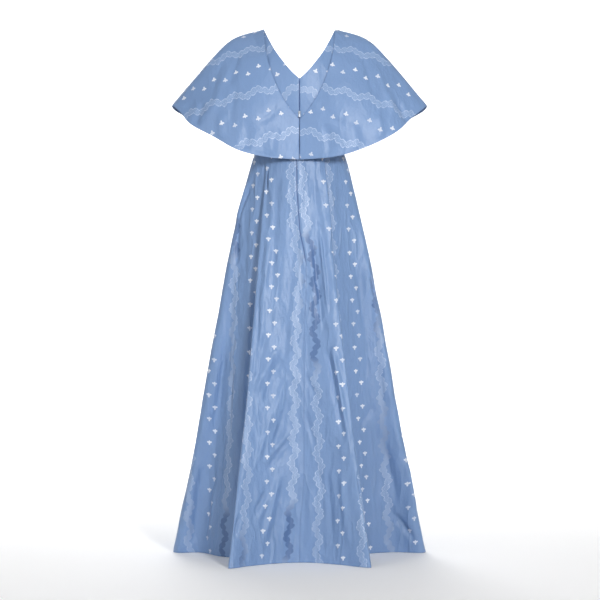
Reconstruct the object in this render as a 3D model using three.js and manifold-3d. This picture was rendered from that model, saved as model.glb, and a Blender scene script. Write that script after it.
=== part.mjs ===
// Capelet gown: a floor-length gored skirt, a fitted sleeveless bodice with a V front and back, and a
// flared capelet over the shoulders. It keeps the hollow shape that it has when it is worn.
// Millimetres. +Z is up, -Y is the front, +X is the wearer's left. The origin lies midway between the
// two high points of the shoulder seams, at their height, where the wearer's shoulders carry the gown.
import * as THREE from "three";
import { mergeVertices } from "three/addons/utils/BufferGeometryUtils.js";
import Module from "manifold-3d";

const wasm = await Module();
wasm.setup();

// ---- driving dimensions -----------------------------------------------------------------------
const GOWN_LENGTH = 1463; // high point of the shoulder to the hem
const WAIST_DROP = 345; // high point of the shoulder to the waist seam
const WAIST = { halfWidth: 124, back: 88, front: 84 };
const NECK_HALF_WIDTH = 99; // centre line to the high point of the shoulder
const SHOULDER_SLOPE = 0.36; // fall of the shoulder line for each millimetre outwards
const SHOULDER_FADE = { from: -100, to: -220 }; // heights between which the line of the shoulder fades out
const SHOULDER_DEPTH = 40; // the shoulder seams lie within this below the high points

const CLOTH = 1.2; // wall of the faced silk in the bodice and the skirt
const CAPELET_CLOTH = 1.5; // wall of the capelet, which is bagged out double
const SEAM_GAP = 0.3; // between two pieces at a seam
const EASE = (CLOTH + CAPELET_CLOTH) / 2 + SEAM_GAP + 0.6; // middle of bodice wall to middle of capelet wall

// Concealed zip down the centre back: a tape behind the cloth, and a slider in the slit of the bodice
// with a bail that a flat pull tab swings in.
const ZIP = { width: 22, tape: 1.0, slit: 2.2, behind: 0.6, skirtLevels: 3, sliderDrop: 243 };
const SLIDER = { width: 5, length: 9, plate: 1.4, neck: 1.4, neckLength: 7 };
const BAIL = { width: 1.4, length: 5, wire: 0.9, rise: 2 };
const FUSE = 0.2; // how far joined shapes reach into each other
const PULL = { width: 4.4, reach: 12.4, thickness: 1.0, bar: 1.0, arm: 0.7, eye: 4.3 };

const STEPS = {
  skirtAround: 3,
  skirtDown: 11,
  bodiceAround: 1,
  bodiceDown: 8,
  bodiceCrowding: 1.6, // the levels lie closer towards the shoulder
  capeletAround: 3,
  capeletShoulder: 6, // within one row of the shoulder seam
  capeletDown: 8,
  zipAcross: 4,
};

// ---- the general figure under the bodice: what its cut and darts are shaped to -----------------
// drop: distance below the shoulder line; the other columns are half the width and the two depths.
const FIGURE = [
  { drop: 0, halfWidth: 190, back: 0, front: 0 },
  { drop: 3, halfWidth: 190, back: 16, front: 14 },
  { drop: 10, halfWidth: 190, back: 29, front: 26 },
  { drop: 25, halfWidth: 189, back: 46, front: 38 },
  { drop: 50, halfWidth: 186, back: 68, front: 50 },
  { drop: 80, halfWidth: 180, back: 86, front: 62 },
  { drop: 120, halfWidth: 169, back: 101, front: 82 },
  { drop: 160, halfWidth: 158, back: 108, front: 103 },
  { drop: 195, halfWidth: 150, back: 108, front: 117 },
  { drop: 235, halfWidth: 143, back: 103, front: 122 },
  { drop: 270, halfWidth: 136, back: 98, front: 112 },
  { drop: 300, halfWidth: 130, back: 93, front: 98 },
  { drop: WAIST_DROP, ...WAIST },
];
const BUST = { drop: 235, spread: 55, square: 0.9, hollow: 0.07, hollowWidth: 38 };

// Top edge of the bodice from centre to side seam. waist: where the same line of cloth meets the
// waist, in degrees from the side seam. corner: the edge turns sharply there.
const BACK_EDGE = [
  { name: "centre back neck", x: 0, z: -150, waist: 90 },
  { name: "neck 1", x: 20, z: -132, waist: 82 },
  { name: "neck 2", x: 39, z: -109, waist: 75 },
  { name: "neck 3", x: 64, z: -74, waist: 67 },
  { name: "neck 4", x: 83, z: -38, waist: 60 },
  { name: "neck 5", x: 93, z: -15, waist: 58 },
  { name: "neck 6", x: 97.5, z: -4, waist: 56 },
  { name: "shoulder high point", x: NECK_HALF_WIDTH, z: 0, waist: 54, corner: true },
  { name: "shoulder middle", x: 125, z: -9.36, waist: 46 },
  { name: "shoulder tip", x: 150, z: -18.36, waist: 38, corner: true },
  { name: "armhole top", x: 149.5, z: -24, waist: 36 },
  { name: "armhole head", x: 147, z: -38, waist: 34 },
  { name: "armhole 1", x: 144, z: -60, waist: 30 },
  { name: "armhole 2", x: 141, z: -105, waist: 22 },
  { name: "armhole 3", x: 145, z: -150, waist: 12 },
  { name: "underarm", x: 150, z: -195, waist: 0, corner: true },
];
const FRONT_EDGE = [
  { name: "centre front neck", x: 0, z: -205, waist: 90 },
  { name: "neck 1", x: 22, z: -178, waist: 82 },
  { name: "neck 2", x: 44, z: -143, waist: 75 },
  { name: "neck 3", x: 64, z: -100, waist: 67 },
  { name: "neck 4", x: 84, z: -47, waist: 60 },
  { name: "neck 5", x: 93, z: -18, waist: 58 },
  { name: "neck 6", x: 97.5, z: -4, waist: 56 },
  { name: "shoulder high point", x: NECK_HALF_WIDTH, z: 0, waist: 54, corner: true },
  { name: "shoulder middle", x: 125, z: -9.36, waist: 46 },
  { name: "shoulder tip", x: 150, z: -18.36, waist: 38, corner: true },
  { name: "armhole top", x: 149.5, z: -24, waist: 36 },
  { name: "armhole head", x: 147, z: -38, waist: 34 },
  { name: "armhole 1", x: 142, z: -60, waist: 30 },
  { name: "armhole 2", x: 134, z: -105, waist: 22 },
  { name: "armhole 3", x: 140, z: -150, waist: 12 },
  { name: "underarm", x: 150, z: -195, waist: 0, corner: true },
];

// ---- the capelet: lines of cloth from its neck edge, over the body, to its hem ------------------
// Each row is one such line on the wearer's left, from centre back over the shoulder to centre front.
// neck gives x and z only: its depth is the bodice's own, plus EASE.
const CAPELET = [
  { name: "centre back", neck: [0, -262], blade: [0, 104, -299], arm: [0, 104, -336], hem: [0, 104, -372] },
  { name: "back 1", neck: [33, -221], blade: [50, 114, -268], arm: [74, 118, -318], hem: [98, 120, -365] },
  { name: "back 2", neck: [59, -176], blade: [100, 117, -222], arm: [144, 124, -281], hem: [186, 122, -339] },
  { name: "back 3", neck: [77, -129], blade: [138, 101, -166], arm: [202, 104, -230], hem: [266, 95, -292] },
  { name: "back 4", neck: [92, -72], blade: [166, 66, -92], arm: [240, 66, -162], hem: [322, 52, -248] },
  { name: "shoulder", neck: [99, 1], blade: [185, 14, -28], arm: [250, 20, -90], hem: [355, 14, -214] },
  { name: "front 4", neck: [96, -50], blade: [180, -34, -54], arm: [252, -34, -122], hem: [350, -36, -224] },
  { name: "front 3", neck: [83, -110], blade: [152, -82, -134], arm: [224, -86, -190], hem: [300, -82, -254] },
  { name: "front 2", neck: [62, -170], blade: [108, -117, -210], arm: [160, -122, -258], hem: [212, -122, -303] },
  { name: "front 1", neck: [34, -224], blade: [54, -132, -263], arm: [84, -134, -302], hem: [114, -136, -340] },
  { name: "centre front", neck: [0, -265], blade: [0, -128, -296], arm: [0, -130, -327], hem: [0, -130, -357] },
];
const STATIONS = ["neck", "blade", "arm", "hem"];
const SHOULDER_ROW = 5;
const CAPELET_FLUTES = { from: 0.35, power: 1.6 }; // share of the length where they start, and their growth
// at: row of CAPELET on that side; width in rows; depth outwards at the hem.
const FLUTES = [
  { side: "left", at: 1.5, width: 0.55, depth: 5 },
  { side: "left", at: 2.5, width: 0.5, depth: -7 },
  { side: "left", at: 3.4, width: 0.55, depth: 7 },
  { side: "left", at: 4.3, width: 0.5, depth: -5 },
  { side: "left", at: 6.6, width: 0.6, depth: -7 },
  { side: "left", at: 8.2, width: 0.7, depth: 6 },
  { side: "right", at: 1.8, width: 0.6, depth: -5 },
  { side: "right", at: 2.8, width: 0.55, depth: 6 },
  { side: "right", at: 3.9, width: 0.55, depth: -7 },
  { side: "right", at: 6.8, width: 0.6, depth: -7 },
  { side: "right", at: 8.4, width: 0.7, depth: 6 },
];

// ---- the skirt: lines of cloth from the waist seam to the hem, clockwise seen from above --------
// waist: degrees on the waist ellipse, 90 at centre back and 0 at the wearer's left; inset: how far the
// waist pleat tucks that line inside the ellipse; hip: how early the line springs out over the hips;
// hang: above 1 it falls straight at first and swings out late; hemX and hemY: where it ends at the hem.
const DRAPE = [
  { name: "centre back seam", waist: 89, inset: 0, hip: 0.4, hang: 1, hemX: -8, hemY: 172 },
  { name: "back cone, slope", waist: 76, inset: 0, hip: 0.2, hang: 1.1, hemX: 62, hemY: 188 },
  { name: "back cone, shoulder", waist: 60, inset: 0, hip: 0.1, hang: 1.2, hemX: 128, hemY: 227 },
  { name: "back cone, crown", waist: 48, inset: 0, hip: 0, hang: 1.3, hemX: 174, hemY: 265 },
  { name: "left fold, edge", waist: 42, inset: 1.4, hip: 0, hang: 1.3, hemX: 187, hemY: 262 },
  { name: "left fold, under", waist: 47, inset: 3.4, hip: 0, hang: 1.3, hemX: 166, hemY: 206 },
  { name: "left fold, root", waist: 50.5, inset: 5.2, hip: 0, hang: 1.3, hemX: 146, hemY: 146 },
  { name: "back left seam", waist: 47, inset: 7, hip: 0.1, hang: 1.25, hemX: 160, hemY: 100 },
  { name: "left side, slope", waist: 36, inset: 4, hip: 0.3, hang: 1.1, hemX: 220, hemY: 68 },
  { name: "left side, hollow", waist: 23, inset: 0, hip: 0.55, hang: 1, hemX: 277, hemY: 0 },
  { name: "left side, crown", waist: 9, inset: 0, hip: 0.62, hang: 1, hemX: 338, hemY: 6 },
  { name: "left edge", waist: -3, inset: 0, hip: 0.62, hang: 1, hemX: 352, hemY: -26 },
  { name: "left front, slope", waist: -18, inset: 0, hip: 0.62, hang: 1, hemX: 300, hemY: -86 },
  { name: "front left seam", waist: -36, inset: 0, hip: 0.62, hang: 1, hemX: 240, hemY: -128 },
  { name: "front left cone, side", waist: -48, inset: 0, hip: 0.62, hang: 1, hemX: 219, hemY: -192 },
  { name: "front left cone", waist: -59, inset: 0, hip: 0.62, hang: 1, hemX: 176, hemY: -246 },
  { name: "front left hollow", waist: -73, inset: 0, hip: 0.62, hang: 1, hemX: 102, hemY: -224 },
  { name: "centre front", waist: -90, inset: 0, hip: 0.62, hang: 1, hemX: 2, hemY: -208 },
  { name: "front right hollow", waist: -106, inset: 0, hip: 0.62, hang: 1, hemX: -94, hemY: -228 },
  { name: "front right cone", waist: -120, inset: 0, hip: 0.62, hang: 1, hemX: -170, hemY: -248 },
  { name: "front right cone, side", waist: -132, inset: 0, hip: 0.62, hang: 1, hemX: -218, hemY: -190 },
  { name: "front right seam", waist: -144, inset: 0, hip: 0.62, hang: 1, hemX: -238, hemY: -124 },
  { name: "right front, slope", waist: -161, inset: 0, hip: 0.62, hang: 1, hemX: -300, hemY: -86 },
  { name: "right edge", waist: -176, inset: 0, hip: 0.52, hang: 1, hemX: -352, hemY: -24 },
  { name: "right side, crown", waist: -188, inset: 0, hip: 0.52, hang: 1, hemX: -338, hemY: 8 },
  { name: "right side, hollow", waist: -202, inset: 0, hip: 0.5, hang: 1, hemX: -275, hemY: -6 },
  { name: "right side, slope", waist: -218, inset: 1, hip: 0.3, hang: 1.1, hemX: -208, hemY: 12 },
  { name: "back right seam", waist: -236, inset: 3.6, hip: 0.1, hang: 1.15, hemX: -164, hemY: 62 },
  { name: "right fold, root", waist: -241, inset: 3.2, hip: 0, hang: 1.2, hemX: -150, hemY: 128 },
  { name: "right fold, under", waist: -239, inset: 1.8, hip: 0, hang: 1.2, hemX: -170, hemY: 196 },
  { name: "right fold, edge", waist: -237, inset: 0.4, hip: 0, hang: 1.2, hemX: -190, hemY: 247 },
  { name: "back cone, right crown", waist: -244, inset: 0, hip: 0, hang: 1.2, hemX: -172, hemY: 254 },
  { name: "back cone, right slope", waist: -254, inset: 0, hip: 0.1, hang: 1.15, hemX: -112, hemY: 212 },
  { name: "back, right of centre", waist: -263, inset: 0, hip: 0.3, hang: 1.05, hemX: -58, hemY: 184 },
];

// ---- small tools -------------------------------------------------------------------------------
const vector = (x, y, z) => new THREE.Vector3(x, y, z);
const degrees = THREE.MathUtils.degToRad;
const mix = THREE.MathUtils.lerp;
const smooth = THREE.MathUtils.smoothstep;

// Catmull-Rom between two values, with their neighbours.
function curve(before, a, b, after, t) {
  const slopeA = (b - before) / 2;
  const slopeB = (after - a) / 2;
  const bend = 3 * (b - a) - 2 * slopeA - slopeB;
  const end = 2 * (a - b) + slopeA + slopeB;
  return a + t * (slopeA + t * (bend + t * end));
}

// Value of a column between the rows of a table, where row(i) gives the value in row i.
function between(row, at, first, last) {
  const i = Math.min(Math.max(Math.floor(at), first), last - 1);
  const before = i > first ? row(i - 1) : 2 * row(i) - row(i + 1);
  const after = i + 2 <= last ? row(i + 2) : 2 * row(i + 1) - row(i);
  return curve(before, row(i), row(i + 1), after, at - i);
}

// Value of a column of FIGURE at a drop, by cubic pieces over its unevenly spaced rows.
function figureColumn(key, drop) {
  const at = Math.min(Math.max(drop, 0), FIGURE.at(-1).drop);
  let i = 0;
  while (i < FIGURE.length - 2 && FIGURE[i + 1].drop < at) i++;
  const step = (j) => (FIGURE[j + 1][key] - FIGURE[j][key]) / (FIGURE[j + 1].drop - FIGURE[j].drop);
  const gap = FIGURE[i + 1].drop - FIGURE[i].drop;
  const t = (at - FIGURE[i].drop) / gap;
  const slopeA = i > 0 ? (step(i - 1) + step(i)) / 2 : step(i);
  const slopeB = i < FIGURE.length - 2 ? (step(i) + step(i + 1)) / 2 : step(i);
  const rise = FIGURE[i + 1][key] - FIGURE[i][key];
  const bend = 3 * rise - gap * (2 * slopeA + slopeB);
  const end = gap * (slopeA + slopeB) - 2 * rise;
  return FIGURE[i][key] + t * (gap * slopeA + t * (bend + t * end));
}

// Share of the way down the bodice at one of its levels.
const bodiceShare = (level) => (level / STEPS.bodiceDown) ** STEPS.bodiceCrowding;

// ---- surfaces: each gives the middle of the cloth at (around, down) ------------------------------
const shoulderLine = (x) => SHOULDER_SLOPE * (NECK_HALF_WIDTH - Math.abs(x));

function dropBelowShoulder(x, z) {
  return -z + shoulderLine(x) * smooth(z, SHOULDER_FADE.to, SHOULDER_FADE.from);
}

// Depth of the figure at a place, positive for the back and negative for the front.
function figureDepth(x, z, isBack) {
  const drop = dropBelowShoulder(x, z);
  const share = Math.min(Math.abs(x) / figureColumn("halfWidth", -z), 1);
  const bust = isBack ? 0 : Math.exp(-(((drop - BUST.drop) / BUST.spread) ** 2));
  const power = 2 + BUST.square * bust;
  const round = (1 - share ** power) ** (1 / power);
  const hollow = 1 - BUST.hollow * bust * Math.exp(-((x / BUST.hollowWidth) ** 2));
  return isBack ? figureColumn("back", drop) * round : -figureColumn("front", drop) * round * hollow;
}

// around: 0 centre back, 1 left side seam, 2 centre front, 3 right side seam, 4 centre back.
function bodice(around, down) {
  if (around > 2) return bodice(4 - around, down).multiply(vector(-1, 1, 1));
  if (around < 0) return bodice(-around, down).multiply(vector(-1, 1, 1));
  const isBack = around <= 1;
  const edge = isBack ? BACK_EDGE : FRONT_EDGE;
  const at = (isBack ? around : 2 - around) * (edge.length - 1);
  const i = Math.min(Math.floor(at), edge.length - 2);
  const first = edge.findLastIndex((row, j) => j <= i && row.corner);
  const last = edge.findIndex((row, j) => j > i && row.corner);
  const column = (key) => between((j) => edge[j][key], at, Math.max(first, 0), last);
  const top = { x: column("x"), z: column("z") };
  const z = mix(top.z, -WAIST_DROP, down);
  const topAngle = Math.acos(Math.min(top.x / figureColumn("halfWidth", -top.z), 1));
  const angle = mix(topAngle, degrees(column("waist")), down);
  const x = figureColumn("halfWidth", -z) * Math.cos(angle);
  return vector(x, figureDepth(x, z, isBack), z);
}

function flutes(row, side, down) {
  const grown = Math.max((down - CAPELET_FLUTES.from) / (1 - CAPELET_FLUTES.from), 0) ** CAPELET_FLUTES.power;
  const height = (f) => f.depth * Math.exp(-(((row - f.at) / f.width) ** 2));
  return grown * FLUTES.filter((f) => f.side === side).reduce((sum, f) => sum + height(f), 0);
}

// A point of the capelet without its flutes, on the wearer's left, at a row of CAPELET.
function capeletLine(row, down) {
  const point = (i, station) => {
    const given = CAPELET[i][station];
    if (station !== "neck") return given;
    const back = i <= SHOULDER_ROW;
    const lift = i === SHOULDER_ROW ? [0, EASE] : [(back ? 1 : -1) * EASE, 0];
    const depth = i === SHOULDER_ROW ? 0 : figureDepth(given[0], given[1], back);
    return [given[0], depth + lift[0], given[1] + lift[1]];
  };
  const axis = (k) =>
    between(
      (s) => between((i) => point(i, STATIONS[s])[k], row, 0, CAPELET.length - 1),
      down * (STATIONS.length - 1),
      0,
      STATIONS.length - 1,
    );
  return vector(axis(0), axis(1), axis(2));
}

// Moves a point of the capelet out, where it would come closer to the figure than the bodice lets it.
function keepOffBodice(p) {
  const under = p.z - EASE;
  if (dropBelowShoulder(p.x, under) <= 0) return;
  const least = Math.abs(figureDepth(p.x, under, p.y >= 0)) + EASE;
  if (Math.abs(p.y) < least) p.y = Math.sign(p.y) * least;
}

// around: 0 centre back, 1 left shoulder seam, 2 centre front, 3 right shoulder seam, 4 centre back.
function capelet(around, down) {
  const isLeft = (around >= 0 && around <= 2) || around > 4;
  const half = Math.abs(around <= 2 ? around : 4 - around);
  const last = CAPELET.length - 1;
  const row = half <= 1 ? half * SHOULDER_ROW : SHOULDER_ROW + (half - 1) * (last - SHOULDER_ROW);
  const p = capeletLine(row, down);
  const out = vector(p.x, p.y, 0).normalize();
  p.addScaledVector(out, flutes(row, isLeft ? "left" : "right", down));
  keepOffBodice(p);
  return isLeft ? p : p.multiply(vector(-1, 1, 1));
}

// around: row of DRAPE, going on past its end to its start.
function skirt(around, down) {
  const count = DRAPE.length;
  const wind = (key, i) => (key === "waist" ? -360 * Math.floor(i / count) : 0);
  const row = (key) => (i) => DRAPE[((i % count) + count) % count][key] + wind(key, i);
  const column = (key) => between(row(key), around, -count, 2 * count);
  const angle = degrees(column("waist"));
  const inset = column("inset");
  const depth = Math.sin(angle) > 0 ? WAIST.back : WAIST.front;
  const out = new THREE.Vector2(Math.cos(angle) / WAIST.halfWidth, Math.sin(angle) / depth).normalize();
  const waistX = WAIST.halfWidth * Math.cos(angle) - inset * out.x;
  const waistY = depth * Math.sin(angle) - inset * out.y;
  const spring = down ** column("hang") + column("hip") * down * (1 - down) ** 3;
  return vector(
    mix(waistX, column("hemX"), spring),
    mix(waistY, column("hemY"), spring),
    mix(-WAIST_DROP, -GOWN_LENGTH, down),
  );
}

// ---- cloth as a closed wall ----------------------------------------------------------------------
const NUDGE = 1e-3; // step of the finite differences

// The wall of a surface between two limits. Each edge is pulled in by half the gap at its seam.
// level: the edge, "top" or "bottom", that ends flat at the waist seam. offset: outwards from the surface.
function wall(surface, arounds, downs, form = {}) {
  const { thickness = CLOTH, offset = 0, level = "", startGap = SEAM_GAP, endGap = SEAM_GAP } = form;
  const nu = arounds.length;
  const nv = downs.length;
  const points = [];
  for (const [i, u] of arounds.entries()) {
    for (const [j, v] of downs.entries()) {
      const p = surface(u, v);
      const alongU = surface(u + NUDGE, v).sub(surface(u - NUDGE, v));
      const alongV = surface(u, Math.min(v + NUDGE, 1)).sub(surface(u, Math.max(v - NUDGE, 0)));
      const normal = alongU.clone().cross(alongV).normalize();
      const isShoulderSeam = Math.abs(p.y) < 1e-6 && p.z > -SHOULDER_DEPTH;
      if (isShoulderSeam) normal.setY(0).normalize(); // front and back end there in one upright plane
      const across = normal.clone().cross(alongV).normalize();
      const downwards = across.clone().cross(normal).normalize();
      const isLevel = (level === "top" && j === 0) || (level === "bottom" && j === nv - 1);
      if (isLevel) normal.setZ(0).normalize();
      if (isLevel) downwards.set(0, 0, -1);
      if (across.dot(alongU) < 0) across.negate();
      if (downwards.dot(alongV) < 0) downwards.negate();
      if (i === 0) p.addScaledVector(across, startGap / 2);
      if (i === nu - 1) p.addScaledVector(across, -endGap / 2);
      if (j === 0) p.addScaledVector(downwards, SEAM_GAP / 2);
      if (j === nv - 1) p.addScaledVector(downwards, -SEAM_GAP / 2);
      points.push(p.clone().addScaledVector(normal, offset + thickness / 2));
      points.push(p.addScaledVector(normal, offset - thickness / 2));
    }
  }
  const outer = (i, j) => 2 * (i * nv + j);
  const inner = (i, j) => outer(i, j) + 1;
  const faces = [];
  const quad = (a, b, c, d) => faces.push(a, b, c, a, c, d);
  for (let i = 0; i + 1 < nu; i++) {
    for (let j = 0; j + 1 < nv; j++) {
      quad(outer(i, j), outer(i + 1, j), outer(i + 1, j + 1), outer(i, j + 1));
      quad(inner(i, j), inner(i, j + 1), inner(i + 1, j + 1), inner(i + 1, j));
    }
    quad(inner(i, 0), inner(i + 1, 0), outer(i + 1, 0), outer(i, 0));
    quad(inner(i, nv - 1), outer(i, nv - 1), outer(i + 1, nv - 1), inner(i + 1, nv - 1));
  }
  for (let j = 0; j + 1 < nv; j++) {
    quad(inner(0, j), outer(0, j), outer(0, j + 1), inner(0, j + 1));
    quad(inner(nu - 1, j), inner(nu - 1, j + 1), outer(nu - 1, j + 1), outer(nu - 1, j));
  }
  const geometry = new THREE.BufferGeometry();
  geometry.setAttribute("position", new THREE.Float32BufferAttribute(points.flatMap((p) => p.toArray()), 3));
  geometry.setIndex(faces);
  geometry.computeVertexNormals();
  return geometry;
}

const steps = (from, to, count) => Array.from({ length: count + 1 }, (_, i) => mix(from, to, i / count));

const SILK = { color: 0x87a5d4, roughness: 0.42, metalness: 0 };
const TAPE = { color: 0x5f7cae, roughness: 0.7, metalness: 0 };
const NICKEL = { color: 0xc9ccd2, roughness: 0.3, metalness: 0.9 };

const gown = new THREE.Group();
function piece(name, geometry, finish) {
  const mesh = new THREE.Mesh(geometry, new THREE.MeshStandardMaterial(finish));
  mesh.name = name;
  gown.add(mesh);
  return mesh;
}

// ---- skirt gores -----------------------------------------------------------------------------------
const rowNamed = (name) => DRAPE.findIndex((row) => row.name === name);
function gore(name, fromSeam, toSeam) {
  const from = rowNamed(fromSeam);
  const to = rowNamed(toSeam) > from ? rowNamed(toSeam) : rowNamed(toSeam) + DRAPE.length;
  const arounds = steps(from, to, (to - from) * STEPS.skirtAround);
  piece(name, wall(skirt, arounds, steps(0, 1, STEPS.skirtDown), { level: "top" }), SILK);
}
gore("skirt_back_left", "centre back seam", "back left seam");
gore("skirt_side_left", "back left seam", "front left seam");
gore("skirt_front", "front left seam", "front right seam");
gore("skirt_side_right", "front right seam", "back right seam");
gore("skirt_back_right", "back right seam", "centre back seam");

// ---- bodice ----------------------------------------------------------------------------------------
const edgeSteps = (BACK_EDGE.length - 1) * STEPS.bodiceAround;
function bodicePanel(name, from, to, gaps) {
  const arounds = steps(from, to, (to - from) * edgeSteps);
  const downs = steps(0, STEPS.bodiceDown, STEPS.bodiceDown).map(bodiceShare);
  piece(name, wall(bodice, arounds, downs, { level: "bottom", ...gaps }), SILK);
}
bodicePanel("bodice_back_left", 0, 1, { startGap: ZIP.slit });
bodicePanel("bodice_front", 1, 3);
bodicePanel("bodice_back_right", 3, 4, { endGap: ZIP.slit });

// ---- capelet ---------------------------------------------------------------------------------------
function capeletPanel(name, from, to) {
  const arounds = [from];
  while (arounds.at(-1) < to - NUDGE) {
    const at = arounds.at(-1);
    const fromSeam = Math.abs(at < 2 ? 1 - at - NUDGE : 3 - at - NUDGE) * SHOULDER_ROW;
    arounds.push(at + 1 / SHOULDER_ROW / (fromSeam < 1 ? STEPS.capeletShoulder : STEPS.capeletAround));
  }
  piece(name, wall(capelet, arounds, steps(0, 1, STEPS.capeletDown), { thickness: CAPELET_CLOTH }), SILK);
}
capeletPanel("capelet_back_left", 0, 1);
capeletPanel("capelet_front", 1, 3);
capeletPanel("capelet_back_right", 3, 4);

// ---- zip -------------------------------------------------------------------------------------------
// The surface beside the centre back seam, across millimetres from it, at a level of the panels: the
// bodice's levels come first, and then the skirt's, so that the tape bends where the cloth does.
const zipLevels = STEPS.bodiceDown + ZIP.skirtLevels;
function besideSeam(across, down) {
  const level = down * zipLevels;
  const inBodice = level <= STEPS.bodiceDown;
  const surface = inBodice ? bodice : skirt;
  const share = inBodice ? bodiceShare(level) : (level - STEPS.bodiceDown) / STEPS.skirtDown;
  const spacing = (surface(NUDGE, share).x - surface(0, share).x) / NUDGE;
  return surface(across / spacing, share);
}
const behindCloth = -(CLOTH / 2 + ZIP.behind + ZIP.tape / 2);
const tapeAcross = steps(-ZIP.width / 2, ZIP.width / 2, STEPS.zipAcross);
const tapeForm = { thickness: ZIP.tape, offset: behindCloth };
piece("zip_tape", wall(besideSeam, tapeAcross, steps(0, 1, zipLevels), tapeForm), TAPE);

// A solid of the given outline, in the plane of height and depth, lying evenly to both sides of centre.
function slab(outline, width) {
  const geometry = new THREE.ExtrudeGeometry(outline, { depth: width, bevelEnabled: false, curveSegments: 6 });
  return geometry.translate(0, 0, -width / 2);
}

function toManifold(geometry) {
  const bare = geometry.index ? geometry.clone() : geometry;
  bare.deleteAttribute("normal");
  bare.deleteAttribute("uv");
  const merged = mergeVertices(bare, 1e-4);
  const vertProperties = Float32Array.from(merged.attributes.position.array);
  const triVerts = Uint32Array.from(merged.index.array);
  return new wasm.Manifold(new wasm.Mesh({ numProp: 3, vertProperties, triVerts }));
}

function join(...geometries) {
  const mesh = geometries.map(toManifold).reduce((a, b) => a.add(b)).getMesh();
  const geometry = new THREE.BufferGeometry();
  geometry.setAttribute("position", new THREE.Float32BufferAttribute(mesh.vertProperties, 3));
  geometry.setIndex(new THREE.Uint32BufferAttribute(mesh.triVerts, 1));
  geometry.computeVertexNormals();
  return geometry;
}

// Slider in its own frame: +Z up the zip, +Y outwards from the middle of the cloth.
const plateBack = CLOTH / 2 + SEAM_GAP;
const plateFace = plateBack + SLIDER.plate;
const plate = new THREE.BoxGeometry(SLIDER.width, SLIDER.plate, SLIDER.length);
plate.translate(0, (plateBack + plateFace) / 2, 0);
const neckDepth = CLOTH / 2 + plateBack + ZIP.behind - SEAM_GAP + FUSE;
const neck = new THREE.BoxGeometry(SLIDER.neck, neckDepth, SLIDER.neckLength);
neck.translate(0, plateBack + FUSE - neckDepth / 2, 0);
const half = BAIL.length / 2;
const crown = BAIL.rise + BAIL.wire;
const bailOutline = new THREE.Shape();
bailOutline.moveTo(-half, -FUSE);
bailOutline.lineTo(-half, crown - BAIL.wire);
bailOutline.quadraticCurveTo(-half, crown, -half + BAIL.wire, crown);
bailOutline.lineTo(half - BAIL.wire, crown);
bailOutline.quadraticCurveTo(half, crown, half, crown - BAIL.wire);
bailOutline.lineTo(half, -FUSE);
bailOutline.lineTo(half - BAIL.wire, -FUSE);
bailOutline.lineTo(half - BAIL.wire, BAIL.rise);
bailOutline.lineTo(-half + BAIL.wire, BAIL.rise);
bailOutline.lineTo(-half + BAIL.wire, -FUSE);
const bail = slab(bailOutline, BAIL.width).rotateY(-Math.PI / 2).translate(0, plateFace, 0);

const neckDrop = -BACK_EDGE[0].z;
const sliderShare = (ZIP.sliderDrop - neckDrop) / (WAIST_DROP - neckDrop);
const seat = bodice(0, sliderShare);
const upTheZip = bodice(0, sliderShare - NUDGE).sub(bodice(0, sliderShare + NUDGE));
const lean = Math.atan2(-upTheZip.y, upTheZip.z);
const slider = piece("zip_slider", join(plate, neck, bail), NICKEL);
slider.position.copy(seat);
slider.rotation.x = lean;

// Pull tab: an eye whose top bar lies in the bail, then a flat tab that hangs straight down.
const tabOutline = new THREE.Shape();
tabOutline.moveTo(-PULL.width / 2, PULL.bar / 2);
tabOutline.lineTo(-PULL.width / 2, PULL.width / 2 - PULL.reach);
tabOutline.absarc(0, PULL.width / 2 - PULL.reach, PULL.width / 2, Math.PI, 2 * Math.PI);
tabOutline.lineTo(PULL.width / 2, PULL.bar / 2);
const eye = new THREE.Path();
eye.moveTo(-PULL.width / 2 + PULL.arm, -PULL.bar / 2);
eye.lineTo(PULL.width / 2 - PULL.arm, -PULL.bar / 2);
eye.lineTo(PULL.width / 2 - PULL.arm, -PULL.eye);
eye.lineTo(-PULL.width / 2 + PULL.arm, -PULL.eye);
tabOutline.holes.push(eye);
const hinge = vector(0, plateFace + BAIL.rise / 2, 0).applyEuler(slider.rotation).add(seat);
const pull = piece("zip_pull", slab(tabOutline, PULL.thickness).rotateX(Math.PI / 2), NICKEL);
pull.position.copy(hinge);

export default gown;
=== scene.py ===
"""Dresses the frame of a capelet gown: cloth, woven figure, creases, sewing, zip, light and camera."""

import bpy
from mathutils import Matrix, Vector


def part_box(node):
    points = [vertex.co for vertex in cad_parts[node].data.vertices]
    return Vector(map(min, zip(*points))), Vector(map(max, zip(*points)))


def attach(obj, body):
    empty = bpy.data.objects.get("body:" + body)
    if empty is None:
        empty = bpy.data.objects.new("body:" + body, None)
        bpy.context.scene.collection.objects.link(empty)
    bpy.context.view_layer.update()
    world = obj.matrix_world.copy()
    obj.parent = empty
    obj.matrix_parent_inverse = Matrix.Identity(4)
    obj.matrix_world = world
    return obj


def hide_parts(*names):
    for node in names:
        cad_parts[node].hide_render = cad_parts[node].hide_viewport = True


bl_info = {
    "name": "Capelet Gown",
    "version": (1, 0, 0),
    "blender": (4, 5, 0),
    "location": "View3D > Sidebar > Gown",
    "description": "Makes the cloth, the zip and the studio of a blue silk gown with a capelet",
    "category": "Add Mesh",
}

import bpy
import numpy as np
from bpy.props import FloatProperty, FloatVectorProperty, IntProperty, PointerProperty

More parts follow.
